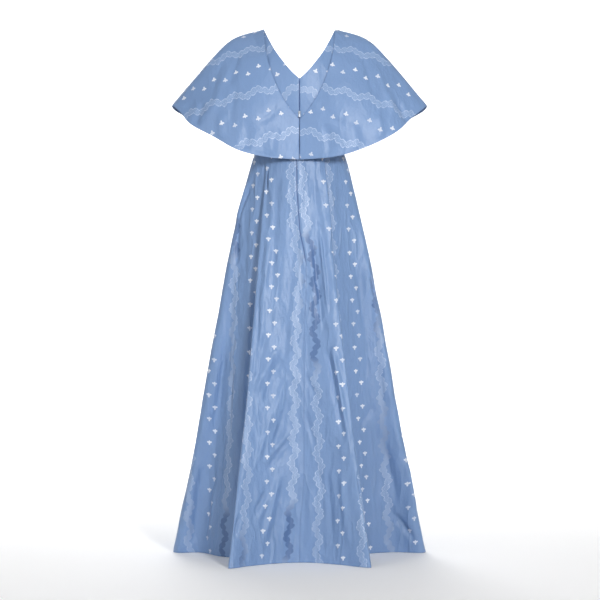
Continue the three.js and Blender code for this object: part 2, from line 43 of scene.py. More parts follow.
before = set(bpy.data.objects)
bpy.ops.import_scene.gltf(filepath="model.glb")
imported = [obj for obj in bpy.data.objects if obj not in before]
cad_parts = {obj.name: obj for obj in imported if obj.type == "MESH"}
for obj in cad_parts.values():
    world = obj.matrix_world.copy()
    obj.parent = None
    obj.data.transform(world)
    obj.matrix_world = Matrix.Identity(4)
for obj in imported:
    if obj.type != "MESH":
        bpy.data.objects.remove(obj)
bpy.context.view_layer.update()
MM = 0.001

# ---- the cut of the gown, in millimetres ----
GOWN_LENGTH = 1463
WAIST_DROP = 345
WAIST_HALF_WIDTH, WAIST_BACK, WAIST_FRONT = 124, 88, 84
NECK_HALF_WIDTH = 99
SHOULDER_SLOPE = 0.36
SHOULDER_FADE = (-220, -100)
CAD_CLOTH, CAD_CAPELET_CLOTH, CAD_GAP = 1.2, 1.5, 0.3
EASE = (CAD_CLOTH + CAD_CAPELET_CLOTH) / 2 + CAD_GAP + 0.6
ZIP = {"width": 22, "tape": 1.0, "slit": 2.2, "behind": 0.6, "cloth": 0.6, "skirt_share": 3 / 11}
TAPE_COLUMNS, TAPE_ROWS_BODICE, TAPE_ROWS_SKIRT = 13, 41, 31

# Figure: drop below the shoulder line, half the width, depth at the back, depth at the front.
FIGURE = np.array([
    (0, 190, 0, 0), (3, 190, 16, 14), (10, 190, 29, 26), (25, 189, 46, 38), (50, 186, 68, 50),
    (80, 180, 86, 62), (120, 169, 101, 82), (160, 158, 108, 103), (195, 150, 108, 117),
    (235, 143, 103, 122), (270, 136, 98, 112), (300, 130, 93, 98), (345, 124, 88, 84),
], float)
BUST = {"drop": 235, "spread": 55, "square": 0.9, "hollow": 0.07, "hollow_width": 38}

# Top edge of the bodice: x, z, degrees at the waist, turns sharply there.
STRAP_EDGE = [
    (97.5, -4, 56, 0), (99, 0, 54, 1), (125, -9.36, 46, 0), (150, -18.36, 38, 1), (149.5, -24, 36, 0),
    (147, -38, 34, 0),
]
BACK_EDGE = np.array([
    (0, -150, 90, 0), (20, -132, 82, 0), (39, -109, 75, 0), (64, -74, 67, 0), (83, -38, 60, 0),
    (93, -15, 58, 0),
    *STRAP_EDGE,
    (144, -60, 30, 0), (141, -105, 22, 0), (145, -150, 12, 0), (150, -195, 0, 1),
], float)
FRONT_EDGE = np.array([
    (0, -205, 90, 0), (22, -178, 82, 0), (44, -143, 75, 0), (64, -100, 67, 0), (84, -47, 60, 0),
    (93, -18, 58, 0),
    *STRAP_EDGE,
    (142, -60, 30, 0), (134, -105, 22, 0), (140, -150, 12, 0), (150, -195, 0, 1),
], float)

# Capelet, from centre back over the shoulder to centre front: neck (x, z), blade, arm, hem (x, y, z).
CAPELET = [
    ((0, -262), (0, 104, -299), (0, 104, -336), (0, 104, -372)),
    ((33, -221), (50, 114, -268), (74, 118, -318), (98, 120, -365)),
    ((59, -176), (100, 117, -222), (144, 124, -281), (186, 122, -339)),
    ((77, -129), (138, 101, -166), (202, 104, -230), (266, 95, -292)),
    ((92, -72), (166, 66, -92), (240, 66, -162), (322, 52, -248)),
    ((99, 1), (185, 14, -28), (250, 20, -90), (355, 14, -214)),
    ((96, -50), (180, -34, -54), (252, -34, -122), (350, -36, -224)),
    ((83, -110), (152, -82, -134), (224, -86, -190), (300, -82, -254)),
    ((62, -170), (108, -117, -210), (160, -122, -258), (212, -122, -303)),
    ((34, -224), (54, -132, -263), (84, -134, -302), (114, -136, -340)),
    ((0, -265), (0, -128, -296), (0, -130, -327), (0, -130, -357)),
]
SHOULDER_ROW = 5
FLUTE_START, FLUTE_POWER = 0.35, 1.6
# Flutes of the capelet: side, row, width in rows, depth at the hem.
FLUTES = [
    ("left", 1.5, 0.55, 5), ("left", 2.5, 0.5, -7), ("left", 3.4, 0.55, 7), ("left", 4.3, 0.5, -5),
    ("left", 6.6, 0.6, -7), ("left", 8.2, 0.7, 6), ("right", 1.8, 0.6, -5), ("right", 2.8, 0.55, 6),
    ("right", 3.9, 0.55, -7), ("right", 6.8, 0.6, -7), ("right", 8.4, 0.7, 6),
]

# Lines of cloth in the skirt, clockwise from the centre back: degrees at the waist, inset there,
# how early it springs over the hip, how late it swings out, x and y at the hem.
DRAPE = np.array([
    (89, 0, 0.4, 1, -8, 172), (76, 0, 0.2, 1.1, 62, 188), (60, 0, 0.1, 1.2, 128, 227),
    (48, 0, 0, 1.3, 174, 265), (42, 1.4, 0, 1.3, 187, 262), (47, 3.4, 0, 1.3, 166, 206),
    (50.5, 5.2, 0, 1.3, 146, 146), (47, 7, 0.1, 1.25, 160, 100), (36, 4, 0.3, 1.1, 220, 68),
    (23, 0, 0.55, 1, 277, 0), (9, 0, 0.62, 1, 338, 6), (-3, 0, 0.62, 1, 352, -26),
    (-18, 0, 0.62, 1, 300, -86), (-36, 0, 0.62, 1, 240, -128), (-48, 0, 0.62, 1, 219, -192),
    (-59, 0, 0.62, 1, 176, -246), (-73, 0, 0.62, 1, 102, -224), (-90, 0, 0.62, 1, 2, -208),
    (-106, 0, 0.62, 1, -94, -228), (-120, 0, 0.62, 1, -170, -248), (-132, 0, 0.62, 1, -218, -190),
    (-144, 0, 0.62, 1, -238, -124), (-161, 0, 0.62, 1, -300, -86), (-176, 0, 0.52, 1, -352, -24),
    (-188, 0, 0.52, 1, -338, 8), (-202, 0, 0.5, 1, -275, -6), (-218, 1, 0.3, 1.1, -208, 12),
    (-236, 3.6, 0.1, 1.15, -164, 62), (-241, 3.2, 0, 1.2, -150, 128), (-239, 1.8, 0, 1.2, -170, 196),
    (-237, 0.4, 0, 1.2, -190, 247), (-244, 0, 0, 1.2, -172, 254), (-254, 0, 0.1, 1.15, -112, 212),
    (-263, 0, 0.3, 1.05, -58, 184),
], float)
DRAPE_ROWS = len(DRAPE)

BODICE_PANELS = ("bodice_back_left_cloth", "bodice_front_cloth", "bodice_back_right_cloth")
# Gores: name, first and last row of DRAPE, grain row, shift of the figure across and along, its
# lean, the bodice panels that the gore is sewn to.
GORES = [
    ("skirt_back_left", 0, 7, 0, -12.5, 1.5, 0.018, BODICE_PANELS[:1]),
    ("skirt_side_left", 7, 13, 7, -115.6, 20, -0.052, BODICE_PANELS[:2]),
    ("skirt_front", 13, 21, 17, 67, 10, 0.0, BODICE_PANELS[1:2]),
    ("skirt_side_right", 21, 27, 27, 10.3, 31, 0.026, BODICE_PANELS[1:]),
    ("skirt_back_right", 27, 34, 34, 12, 28, -0.035, BODICE_PANELS[2:]),
]

# The centre back seam wanders a little over the smooth cloth: share down, millimetres to the left.
SEAM_WANDER = np.array([
    (0, 6), (0.1, 6), (0.2, -1), (0.28, -21), (0.34, -20), (0.42, -11), (0.61, -8), (0.8, -6),
    (0.85, -2), (0.9, 5), (1, 8),
])

# Painted shade on the floats of the vine, where they turn away from the light: row, share down, reach in
# millimetres, amount.
FLOAT_SHADE_SPOTS = [
    (32.75, 0.22, 30, 0.9), (32.7, 0.27, 31, 1.2), (32.7, 0.32, 32, 1.2), (32.7, 0.37, 34, 1.2),
    (32.75, 0.42, 36, 1.2), (32.8, 0.48, 38, 1), (32.8, 0.53, 36, 0.6), (0.5, 0.9, 60, 0.8),
    (0.5, 0.96, 60, 1), (3.2, 0.97, 70, 0.9), (7.6, 0.95, 90, 1), (9.4, 0.9, 90, 0.3),
    (25.2, 0.97, 90, 0.5), (25.3, 0.35, 70, 0.9), (25.3, 0.43, 70, 0.7), (8.9, 0.15, 60, 0.9),
    (8.9, 0.23, 60, 0.9), (14.5, 0.4, 120, 0.9), (17.5, 0.8, 120, 0.9), (20, 0.25, 110, 0.8),
    (22.5, 0.7, 120, 0.7), (11.5, 0.5, 120, 0.7),
]

# Creases of the skirt: row and share down at the start, the middle and the end, width in
# millimetres, depth in millimetres (above 0 for a ridge).
SKIRT_CREASES = [
    (1.12, 0.478, 1.92, 0.532, 2.88, 0.61, 8, 3.5), (0.83, 0.495, 1.5, 0.552, 1.96, 0.633, 9, -4),
    (0.71, 0.55, 1.17, 0.61, 1.58, 0.705, 8, 3), (0.54, 0.598, 1, 0.67, 1.38, 0.743, 9, -4),
    (0.42, 0.685, 0.96, 0.708, 1.54, 0.758, 6, 3.5), (0.46, 0.708, 1, 0.735, 1.79, 0.79, 7, -4.5),
    (1.5, 0.82, 1.75, 0.85, 2.08, 0.878, 6, -5), (1.29, 0.835, 1.62, 0.868, 1.92, 0.902, 6, 3),
    (2.75, 0.878, 3.1, 0.9, 3.21, 0.932, 6, -5), (1, 0.787, 1.25, 0.86, 1.67, 0.978, 8, 5),
    (0.79, 0.802, 1, 0.873, 1.38, 0.973, 9, -4), (1.08, 0.043, 1.08, 0.22, 1.25, 0.417, 12, 2.5),
    (1.92, 0.043, 1.83, 0.198, 2.08, 0.367, 10, -3), (0.71, 0.885, 0.79, 0.945, 0.79, 0.988, 8, 3),
    (0.46, 0.85, 0.46, 0.922, 0.5, 0.988, 8, -3), (1.67, 0.44, 2.33, 0.49, 2.46, 0.573, 9, -3.5),
    (31.75, 0.185, 31.58, 0.295, 31.54, 0.427, 4.5, 5), (32.5, 0.21, 32.25, 0.33, 32, 0.465, 7, -4),
    (31.5, 0.478, 31.21, 0.555, 30.96, 0.74, 5.5, 6), (31.88, 0.478, 31.62, 0.573, 31.33, 0.733, 7.5, -6),
    (30.38, 0.775, 30.38, 0.815, 30.33, 0.863, 3.5, -7), (33.67, 0.44, 33.46, 0.512, 33.46, 0.542, 9, -2.5),
    (33.79, 0.542, 33.25, 0.58, 32.67, 0.605, 6, -3.5), (33.83, 0.63, 33.5, 0.67, 33.08, 0.725, 6, -3),
    (32.46, 0.777, 32.38, 0.873, 32.38, 0.978, 9, -4), (31.62, 0.763, 31.62, 0.87, 31.62, 0.975, 9, 4),
    (33.42, 0.777, 33.62, 0.897, 33.79, 0.985, 10, 3), (31.83, 0.035, 31.79, 0.11, 31.79, 0.173, 8, -2.5),
    (30.04, 0.043, 30.04, 0.147, 30.17, 0.247, 9, 2.5), (24.04, 0.305, 24, 0.338, 24.08, 0.367, 5, -5),
    (25, 0.897, 24.58, 0.935, 24.21, 0.973, 7, -8), (23.71, 0.75, 23.75, 0.838, 23.71, 0.912, 8, 5),
    (25.38, 0.217, 25.21, 0.417, 25.33, 0.618, 12, -3), (25.25, 0.443, 25.04, 0.618, 24.92, 0.792, 12, 3),
    (25, 0.693, 24.79, 0.792, 24.71, 0.888, 9, -4.5), (25.21, 0.63, 25.67, 0.657, 26.12, 0.695, 6, -3),
    (8.75, 0.072, 9.75, 0.13, 9.79, 0.18, 6, -5), (9.46, 0.065, 9.92, 0.12, 10.33, 0.188, 7, 3.5),
    (9.83, 0.163, 9.54, 0.217, 9.08, 0.288, 7, -5), (9.71, 0.355, 9.54, 0.517, 9.67, 0.693, 12, 3),
    (9.29, 0.443, 9.17, 0.593, 9.17, 0.743, 10, -3.5), (8.5, 0.52, 8.42, 0.623, 8.12, 0.728, 6, -6),
    (9.58, 0.78, 9.46, 0.893, 9.38, 0.995, 10, -5), (8.71, 0.818, 8.62, 0.905, 8.58, 0.995, 10, 4),
    (8.62, 0.693, 8.5, 0.79, 8.42, 0.865, 8, -4), (4.3, 0.03, 4.25, 0.3, 4.2, 0.66, 7, 3),
    (5.1, 0.02, 5, 0.12, 4.9, 0.26, 4, -3.5), (7.6, 0.3, 7.55, 0.5, 7.5, 0.85, 11, -5),
    (0.25, 0.3, 0.5, 0.42, 0.62, 0.56, 8, 3), (1.4, 0.62, 1.8, 0.7, 2.3, 0.78, 6, 3.5),
    (2.3, 0.2, 2.5, 0.34, 2.6, 0.5, 9, 3), (3.1, 0.35, 2.9, 0.47, 3.2, 0.6, 7, -3),
    (33.2, 0.74, 32.8, 0.83, 32.9, 0.92, 8, -3), (30.9, 0.1, 30.8, 0.24, 30.6, 0.38, 8, 3),
    (29.1, 0.3, 29, 0.45, 29.2, 0.6, 9, -3),
    # the sides and the front
    (11.3, 0.12, 11.6, 0.3, 11.5, 0.48, 9, -4), (12.2, 0.3, 12, 0.5, 12.3, 0.72, 11, 3.5),
    (11.1, 0.6, 11.5, 0.7, 11.3, 0.86, 8, -5), (12.5, 0.72, 12.1, 0.84, 12.2, 0.96, 8, 4),
    (13.6, 0.15, 13.9, 0.38, 13.7, 0.62, 10, -4), (14.5, 0.1, 14.7, 0.3, 14.6, 0.55, 11, 3),
    (15.4, 0.42, 14.7, 0.5, 14.1, 0.6, 7, -4), (15.6, 0.18, 15.7, 0.36, 15.9, 0.52, 9, -3.5),
    (16.6, 0.06, 16.5, 0.2, 16.7, 0.4, 11, 3), (16.9, 0.5, 16.3, 0.6, 15.8, 0.72, 8, -4.5),
    (17.4, 0.3, 17.2, 0.48, 17.4, 0.66, 10, -3.5), (18.2, 0.62, 17.8, 0.72, 17.2, 0.84, 7, 4),
    (18.4, 0.12, 18.6, 0.26, 18.4, 0.42, 10, -3), (19.6, 0.28, 19.4, 0.45, 19.6, 0.7, 9, 4),
    (20.2, 0.5, 19.9, 0.62, 20.3, 0.8, 9, -5), (15.2, 0.8, 15.4, 0.9, 15.3, 0.98, 9, 4),
    (19, 0.84, 18.8, 0.92, 18.9, 0.99, 8, -4), (20.6, 0.12, 20.4, 0.3, 20.5, 0.45, 10, 3),
    (21.6, 0.2, 21.9, 0.4, 21.7, 0.6, 10, -4), (22.6, 0.42, 22.2, 0.56, 22.4, 0.74, 9, 3.5),
    (22.9, 0.7, 22.5, 0.8, 22.2, 0.93, 7, -5), (23.1, 0.16, 23, 0.28, 23.2, 0.42, 8, -3.5),
]
# The same for the capelet and the bodice, whose first number is their own way round, 0 to 4.
CAPELET_CREASES = [
    (0.85, 0.45, 0.717, 0.638, 0.6, 0.913, 12, 3.2), (0.858, 0.294, 0.767, 0.413, 0.683, 0.537, 9, -2.2),
    (0.808, 0.044, 0.858, 0.2, 0.9, 0.325, 5, -0.9), (3.142, 0.463, 3.242, 0.7, 3.35, 0.938, 12, 3),
    (3.15, 0.312, 3.25, 0.475, 3.35, 0.613, 9, -2.4), (0.417, 0.569, 0.35, 0.806, 0.308, 1, 14, -4),
    (0.6, 0.68, 0.53, 0.86, 0.48, 1, 12, 4), (0.758, 0.769, 0.692, 0.906, 0.633, 1, 10, -5),
    (3.583, 0.575, 3.625, 0.831, 3.65, 1, 14, -4), (3.4, 0.68, 3.47, 0.86, 3.52, 1, 12, 4),
    (3.225, 0.788, 3.25, 0.913, 3.317, 1, 10, -5), (0.233, 0.431, 0.192, 0.713, 0.167, 0.988, 14, 3),
    (3.75, 0.419, 3.792, 0.688, 3.825, 0.994, 12, -3), (0.258, 0.006, 0.292, 0.338, 0.342, 0.569, 8, -2),
    (3.725, 0.031, 3.692, 0.394, 3.642, 0.619, 8, -2), (0.667, 0.456, 0.567, 0.619, 0.483, 0.812, 9, -2.5),
    (1.2, 0.35, 1.28, 0.6, 1.36, 0.95, 12, -4), (1.45, 0.4, 1.5, 0.7, 1.54, 1, 13, 4),
    (1.7, 0.3, 1.68, 0.6, 1.72, 0.98, 11, -3.5), (1.9, 0.4, 1.86, 0.7, 1.88, 1, 13, 3),
    (2.14, 0.35, 2.18, 0.6, 2.16, 1, 12, -3), (2.4, 0.3, 2.36, 0.6, 2.33, 0.97, 12, 4),
    (2.62, 0.4, 2.56, 0.7, 2.5, 1, 12, -4), (2.85, 0.4, 2.77, 0.65, 2.7, 0.96, 11, 3.5),
]
BODICE_CREASES = [
    (0.35, 0.55, 0.3, 0.75, 0.34, 0.95, 9, -1.2), (3.66, 0.5, 3.7, 0.72, 3.64, 0.94, 9, -1.2),
    (1.55, 0.45, 1.6, 0.65, 1.62, 0.95, 9, -1.3), (2.45, 0.45, 2.4, 0.65, 2.38, 0.95, 9, -1.3),
    (1.1, 0.3, 1.25, 0.42, 1.4, 0.45, 7, -1.2), (2.9, 0.32, 2.75, 0.42, 2.6, 0.46, 7, -1.2),
]
CREASE_STEPS = 12  # straight pieces of a crease's path
CREASE_REACH = 3  # widths beside the path that it still lifts
CREASE_FADE = 0.28  # share of its length in which it fades out at either end

# Garments sewn from panels. "cut": name, first and last way round, depth of the seams at both,
# place of the grain line, its turn in degrees, shift of the figure. "steps" and "levels": the
# mesh, with close rows "beside" and "below" the edges. "edges": depth of the dips at the top and
# hem. "calm": power of the calm beside them. "loose": where the cloth comes to hang freely.
# "uneven": amount, cell across and along, slant, step of the seed.
# "shine": how much painted shade darkens the vine's floats. The depths of seams and edges also set how dark
# their lines of painted shade are.
SILK_CUT = (90, 0.42)  # turn of the sprigs in degrees, share of the fine folds
BODICE = {
    "cut": (
        ("bodice_back_left", 0, 1, (1.2, 1.0), 0, 60, (-20, 0)),
        ("bodice_front", 1, 3, (1.0, 1.0), 0.5, 90, (0, 0)),
        ("bodice_back_right", 3, 4, (1.0, 1.2), 1, 120, (-20, 14)),
    ),
    "steps": 5 * (len(BACK_EDGE) - 1), "beside": (0.0008, 0.002, 0.005, 0.009),
    "levels": 60, "below": (0.003, 0.008), "crowding": 1.4,
    "edges": (0.3, 1.0), "dips": 0.8, "calm": 1, "loose": (-2, -1),
    "creases": BODICE_CREASES, "uneven": ((0.25, 30, 40, 0, 5),), "shift": 0, "shine": 0.2,
    "held": "stretched", "rests_on": ["shoulders of the wearer"],
}
CAPE = {
    "cut": (
        ("capelet_back_left", 0, 1, (1.3, 1.0), 0, 74, (-30, 0)),
        ("capelet_front", 1, 3, (1.0, 1.0), 0.5, 90, (-30, 0)),
        ("capelet_back_right", 3, 4, (1.0, 1.3), 1, 106, (-30, 12)),
    ),
    "steps": 12 * SHOULDER_ROW, "beside": (0.0012, 0.003, 0.007, 0.012),
    "levels": 80, "below": (0.004, 0.01, 0.018), "crowding": 1,
    "edges": (0.5, 0.3), "dips": 0.7, "calm": 0.5, "loose": (20, 110),
    "creases": CAPELET_CREASES, "uneven": ((0.9, 60, 60, 0, 31), (0.4, 22, 30, 0, 41)), "shift": 300,
    "shine": 0.05, "held": "draped", "rests_on": ["bodice_front_cloth"],
}
SKIRT_STEPS = 15
SKIRT_UNEVEN = ((1.1, 44, 150, 0, 0), (0.7, 20, 66, 0.5, 50))
# Painted shade on the vine's floats over the skirt: least, random spread, cell across and along, step of the
# seed, shift.
SKIRT_SHINE = {"least": 0.12, "spread": 0.1, "cell": (90, 180), "step": 90, "shift": 500}
LATTICE = (97, 89)  # random heights that the unevenness is drawn from
HALF_GAP = 0.35  # centre line to the edge of either back half of the capelet
SQUEEZE = 0.02  # share of its place that cloth pushed out of the zip's slit keeps

# Sewing, in millimetres or as shares of a full seam.
# The dark line in a seam is painted shade, in the silk's colour.
SEAM_SHADE_WIDTH = 1.6  # half the width of the dark line in a seam
FREE_FROM = 14  # distance from an edge at which the cloth hangs freely
CENTRE_BACK = 0.35  # depth of the skirt's centre back seam
WANDER_ROWS = 2  # rows beside the centre back over which its wandering dies out
# The two laps over the zip, the slot and the line of painted shade in the slit between them, and the share
# down of their end.
LAPS = {"calm": 16, "ridge": 1.2, "at": 6, "width": 3, "sink": 0.7, "slot": 2, "end": 0.02}
SLIT_SHADE = {"width": 1.5, "depth": 0.95}
# The pressed ridge below the zip, and the shares down between which it runs.
PRESSED = {"from": 0.42, "full": 0.5, "to": 0.78, "fade": 0.08, "ridge": 0.7, "at": 2.5, "width": 2}
HEM_RIDGE = 0.25
TOOTH = {"pitch": 1.25, "width": 1.5, "rise": 0.8, "fill": 0.38, "offset": 0.12, "behind": 0.45}
TEETH_SHARES = (0.01, 0.995)  # shares of the bodice's centre back between which the teeth stand

# Heights in the silk and pitches of the tape's weave, down and across, in metres.
RELIEF = {
    "crinkle": 0.0038, "fold": 0.0036, "dimple": 0.0006, "sprig": 0.00022, "vine": 0.00007,
    "slub": 0.00003, "rib": 0.00002,
}
TAPE_WEAVE = (0.0009, 0.0014)
BRUSHED = (3000.0, 3000.0, 240.0)  # stretch of the lines in brushed metal
# Painted shade on the silk's ground, where its floats turn away from the light, and in the shadow of a seam.
TURNED_SHADE = (0.50, 0.57, 0.67)
SEAM_SHADE_TINT = (0.16, 0.26, 0.42)
# Petals of a sprig: angle, place of the middle, half the length and half the width, in metres.
PETALS = (
    (0, 0.0034, 0.0030, 0.0019), (-68, 0.0037, 0.0036, 0.0025), (68, 0.0037, 0.0036, 0.0025),
    (180, 0.0031, 0.0036, 0.0023),
)

# Camera and studio, in metres. The focal length is in pixels of the picture's width.
CAMERA_PLACE = (-0.0014, 4.5, -0.756)
FOCAL, PICTURE_WIDTH, SENSOR = 1607, 600, 36
SWEEP = {"width": 9.0, "radius": 1.6, "back": -5.0, "front": 7.0, "top": 5.0, "gap": 0.0005}
SKY = 0.35
# Lamps: name, place, aim, size, power, spread in degrees, colour.
LAMPS = (
    ("key", (-1.45, 4.0, 0.55), (0, 0, -0.62), 0.8, 18.5, 70, (1.0, 0.985, 0.97)),
    ("fill", (3.0, 3.6, 0.6), (0, 0, -0.7), 2.2, 34, 180, (0.96, 0.98, 1.0)),
    ("top", (0.3, 0.9, 3.2), (0, 0, -0.8), 2.0, 12, 180, (1.0, 1.0, 1.0)),
    ("front", (0.8, -3.8, 1.2), (0, 0, -0.8), 2.4, 85, 180, (1.0, 1.0, 1.0)),
    ("backdrop", (0, -3.4, 2.6), (0, -6.4, -0.6), 3.0, 260, 180, (1.0, 1.0, 1.0)),
)


# ---- surfaces: the middle of the cloth, in millimetres ----
def curve(a, b, slope_a, slope_b, t):
    bend = 3 * (b - a) - 2 * slope_a - slope_b
    end = 2 * (a - b) + slope_a + slope_b
    return a + t * (slope_a + t * (bend + t * end))


def hermite(before, a, b, after, t):
    return curve(a, b, (b - before) / 2, (after - a) / 2, t)


def between(values, at, corners=()):
    """Smooth value between the rows of a column that ends, or turns sharply, at its corners."""
    v = np.asarray(values, float)
    count = len(v)
    before, after = np.empty(count - 1), np.empty(count - 1)
    for k in range(count - 1):
        before[k] = 2 * v[k] - v[k + 1] if k == 0 or k in corners else v[k - 1]
        after[k] = 2 * v[k + 1] - v[k] if k == count - 2 or k + 1 in corners else v[k + 2]
    i = np.clip(np.floor(at).astype(int), 0, count - 2)
    return hermite(before[i], v[i], v[i + 1], after[i], at - i)


def around_rows(values, at, wind=0.0):
    """Smooth value between the rows of a column that closes on itself."""
    i = np.floor(at).astype(int)

    def pick(k):
        return values[k % len(values)] + wind * (k // len(values))

    return hermite(pick(i - 1), pick(i), pick(i + 1), pick(i + 2), at - i)


def figure_column(column, drop):
    drops, v = FIGURE[:, 0], FIGURE[:, column]
    at = np.clip(drop, 0, drops[-1])
    i = np.clip(np.searchsorted(drops, at) - 1, 0, len(drops) - 2)
    step = np.diff(v) / np.diff(drops)
    gap = drops[i + 1] - drops[i]
    t = (at - drops[i]) / gap
    slope_a = np.where(i > 0, (step[np.maximum(i - 1, 0)] + step[i]) / 2, step[i])
    slope_b = np.where(i < len(step) - 1, (step[i] + step[np.minimum(i + 1, len(step) - 1)]) / 2, step[i])
    return curve(v[i], v[i + 1], gap * slope_a, gap * slope_b, t)


def smooth(value, low, high):
    t = np.clip((value - low) / (high - low), 0, 1)
    return t * t * (3 - 2 * t)


def bell(away, width):
    return np.exp(-((away / width) ** 2))


def drop_below_shoulder(x, z):
    return -z + SHOULDER_SLOPE * (NECK_HALF_WIDTH - np.abs(x)) * smooth(z, *SHOULDER_FADE)


def figure_depth(x, z, is_back):
    drop = drop_below_shoulder(x, z)
    share = np.minimum(np.abs(x) / figure_column(1, -z), 1)
    bust = np.where(is_back, 0, bell(drop - BUST["drop"], BUST["spread"]))
    power = 2 + BUST["square"] * bust
    rounded = (1 - share**power) ** (1 / power)
    hollow = 1 - BUST["hollow"] * bust * bell(x, BUST["hollow_width"])
    return np.where(is_back, figure_column(2, drop) * rounded, -figure_column(3, drop) * rounded * hollow)


def bodice(around, down):
    """around: 0 centre back, 1 left side seam, 2 centre front, 3 right side seam, 4 centre back."""
    mirrored = (around > 2) | (around < 0)
    half = np.where(around > 2, 4 - around, np.abs(around))
    is_back = half <= 1
    columns = []
    for edge, at in ((BACK_EDGE, half), (FRONT_EDGE, 2 - half)):
        at = np.clip(at, 0, 1) * (len(edge) - 1)
        corners = set(np.flatnonzero(edge[:, 3]))
        columns.append([between(edge[:, k], at, corners) for k in range(3)])
    top_x, top_z, waist = (np.where(is_back, b, f) for b, f in zip(*columns))
    z = top_z + (-WAIST_DROP - top_z) * down
    top_angle = np.arccos(np.clip(top_x / figure_column(1, -top_z), -1, 1))
    angle = top_angle + (np.radians(waist) - top_angle) * down
    x = figure_column(1, -z) * np.cos(angle)
    y = figure_depth(x, z, is_back)
    return np.stack([np.where(mirrored, -x, x), y, z], -1)


def capelet_neck(row):
    x, z = CAPELET[row][0]
    if row == SHOULDER_ROW:
        return (x, 0.0, z + EASE)
    back = row < SHOULDER_ROW
    depth = float(figure_depth(np.array(x, float), np.array(z, float), np.array(back)))
    return (x, depth + (EASE if back else -EASE), z)


def capelet(around, down):
    """around: 0 centre back, 1 left shoulder seam, 2 centre front, 3 right shoulder seam, 4 centre back."""
    is_left = ((around >= 0) & (around <= 2)) | (around > 4)
    half = np.abs(np.where(around <= 2, around, 4 - around))
    row = half * SHOULDER_ROW
    stations = [[capelet_neck(i) for i in range(len(CAPELET))]]
    stations += [[line[k] for line in CAPELET] for k in (1, 2, 3)]
    s = np.array([[between([p[k] for p in st], row) for k in range(3)] for st in stations])
    before, after = 2 * s[0] - s[1], 2 * s[3] - s[2]
    lines = [before, s[0], s[1], s[2], s[3], after]
    at = np.clip(down, 0, 1) * 3
    i = np.clip(np.floor(at).astype(int), 0, 2)
    options = [hermite(lines[k], lines[k + 1], lines[k + 2], lines[k + 3], at - k) for k in range(3)]
    p = np.moveaxis(np.choose(i[None], options), 0, -1)
    grown = np.maximum((down - FLUTE_START) / (1 - FLUTE_START), 0) ** FLUTE_POWER
    swing = np.zeros_like(row)
    for side, centre, width, depth in FLUTES:
        here = is_left if side == "left" else ~is_left
        swing += np.where(here, depth * bell(row - centre, width), 0)
    out = p[..., :2] / np.maximum(np.hypot(p[..., 0], p[..., 1]), 1e-6)[..., None]
    p[..., :2] += out * (swing * grown)[..., None]
    under = p[..., 2] - EASE
    least = np.abs(figure_depth(p[..., 0], under, p[..., 1] >= 0)) + EASE
    close = (drop_below_shoulder(p[..., 0], under) > 0) & (np.abs(p[..., 1]) < least)
    p[..., 1] = np.where(close, np.sign(p[..., 1]) * least, p[..., 1])
    p[..., 0] = np.where(is_left, p[..., 0], -p[..., 0])
    return p


def skirt(around, down):
    """around: row of DRAPE, going on past its end to its start."""
    waist, inset, hip, hang, hem_x, hem_y = (
        around_rows(DRAPE[:, k], around, -360.0 if k == 0 else 0.0) for k in range(6)
    )
    angle = np.radians(waist)
    depth = np.where(np.sin(angle) > 0, WAIST_BACK, WAIST_FRONT)
    out = np.stack([np.cos(angle) / WAIST_HALF_WIDTH, np.sin(angle) / depth])
    out = out / np.hypot(*out)
    waist_x = WAIST_HALF_WIDTH * np.cos(angle) - inset * out[0]
    waist_y = depth * np.sin(angle) - inset * out[1]
    spring = down**hang + hip * down * (1 - down) ** 3
    return np.stack([
        waist_x + (hem_x - waist_x) * spring,
        waist_y + (hem_y - waist_y) * spring,
        -WAIST_DROP - (GOWN_LENGTH - WAIST_DROP) * down,
    ], -1)


# ---- cloth on a grid ----
def crowded(first, last, per_row, close):
    """Even steps from first to last, with closer ones beside both ends."""
    inner = np.linspace(first, last, int(round((last - first) * per_row)) + 1)
    near = np.array(close)
    inner = inner[(inner > first + near[-1]) & (inner < last - near[-1])]
    return np.concatenate([[first], first + near, inner, last - near[::-1], [last]])


def lengths(grid, axis):
    """Running length along an axis of the grid."""
    step = np.linalg.norm(np.diff(grid, axis=axis), axis=-1)
    pad = [(0, 0), (0, 0)]
    pad[axis] = (1, 0)
    return np.pad(np.cumsum(step, axis=axis), pad)


def normals(grid):
    n = np.cross(np.gradient(grid, axis=0), np.gradient(grid, axis=1))
    return n / np.maximum(np.linalg.norm(n, axis=-1, keepdims=True), 1e-9)


def unevenness(u, v, cell_u, cell_v, seed):
    """Smooth random heights from -1 to 1."""
    lattice = np.random.default_rng(seed).uniform(-1, 1, LATTICE)
    x, y = u / cell_u, v / cell_v
    i, j = np.floor(x).astype(int), np.floor(y).astype(int)
    fx, fy = x - i, y - j
    fx, fy = fx * fx * (3 - 2 * fx), fy * fy * (3 - 2 * fy)

    def pick(a, b):
        return lattice[a % LATTICE[0], b % LATTICE[1]]

    low = pick(i, j) * (1 - fx) + pick(i + 1, j) * fx
    high = pick(i, j + 1) * (1 - fx) + pick(i + 1, j + 1) * fx
    return low * (1 - fy) + high * fy


def ripples(layers, across, along, shift, seed):
    return sum(
        amount * unevenness(across + shift, along + slant * across, cell_u, cell_v, seed + step)
        for amount, cell_u, cell_v, slant, step in layers
    )


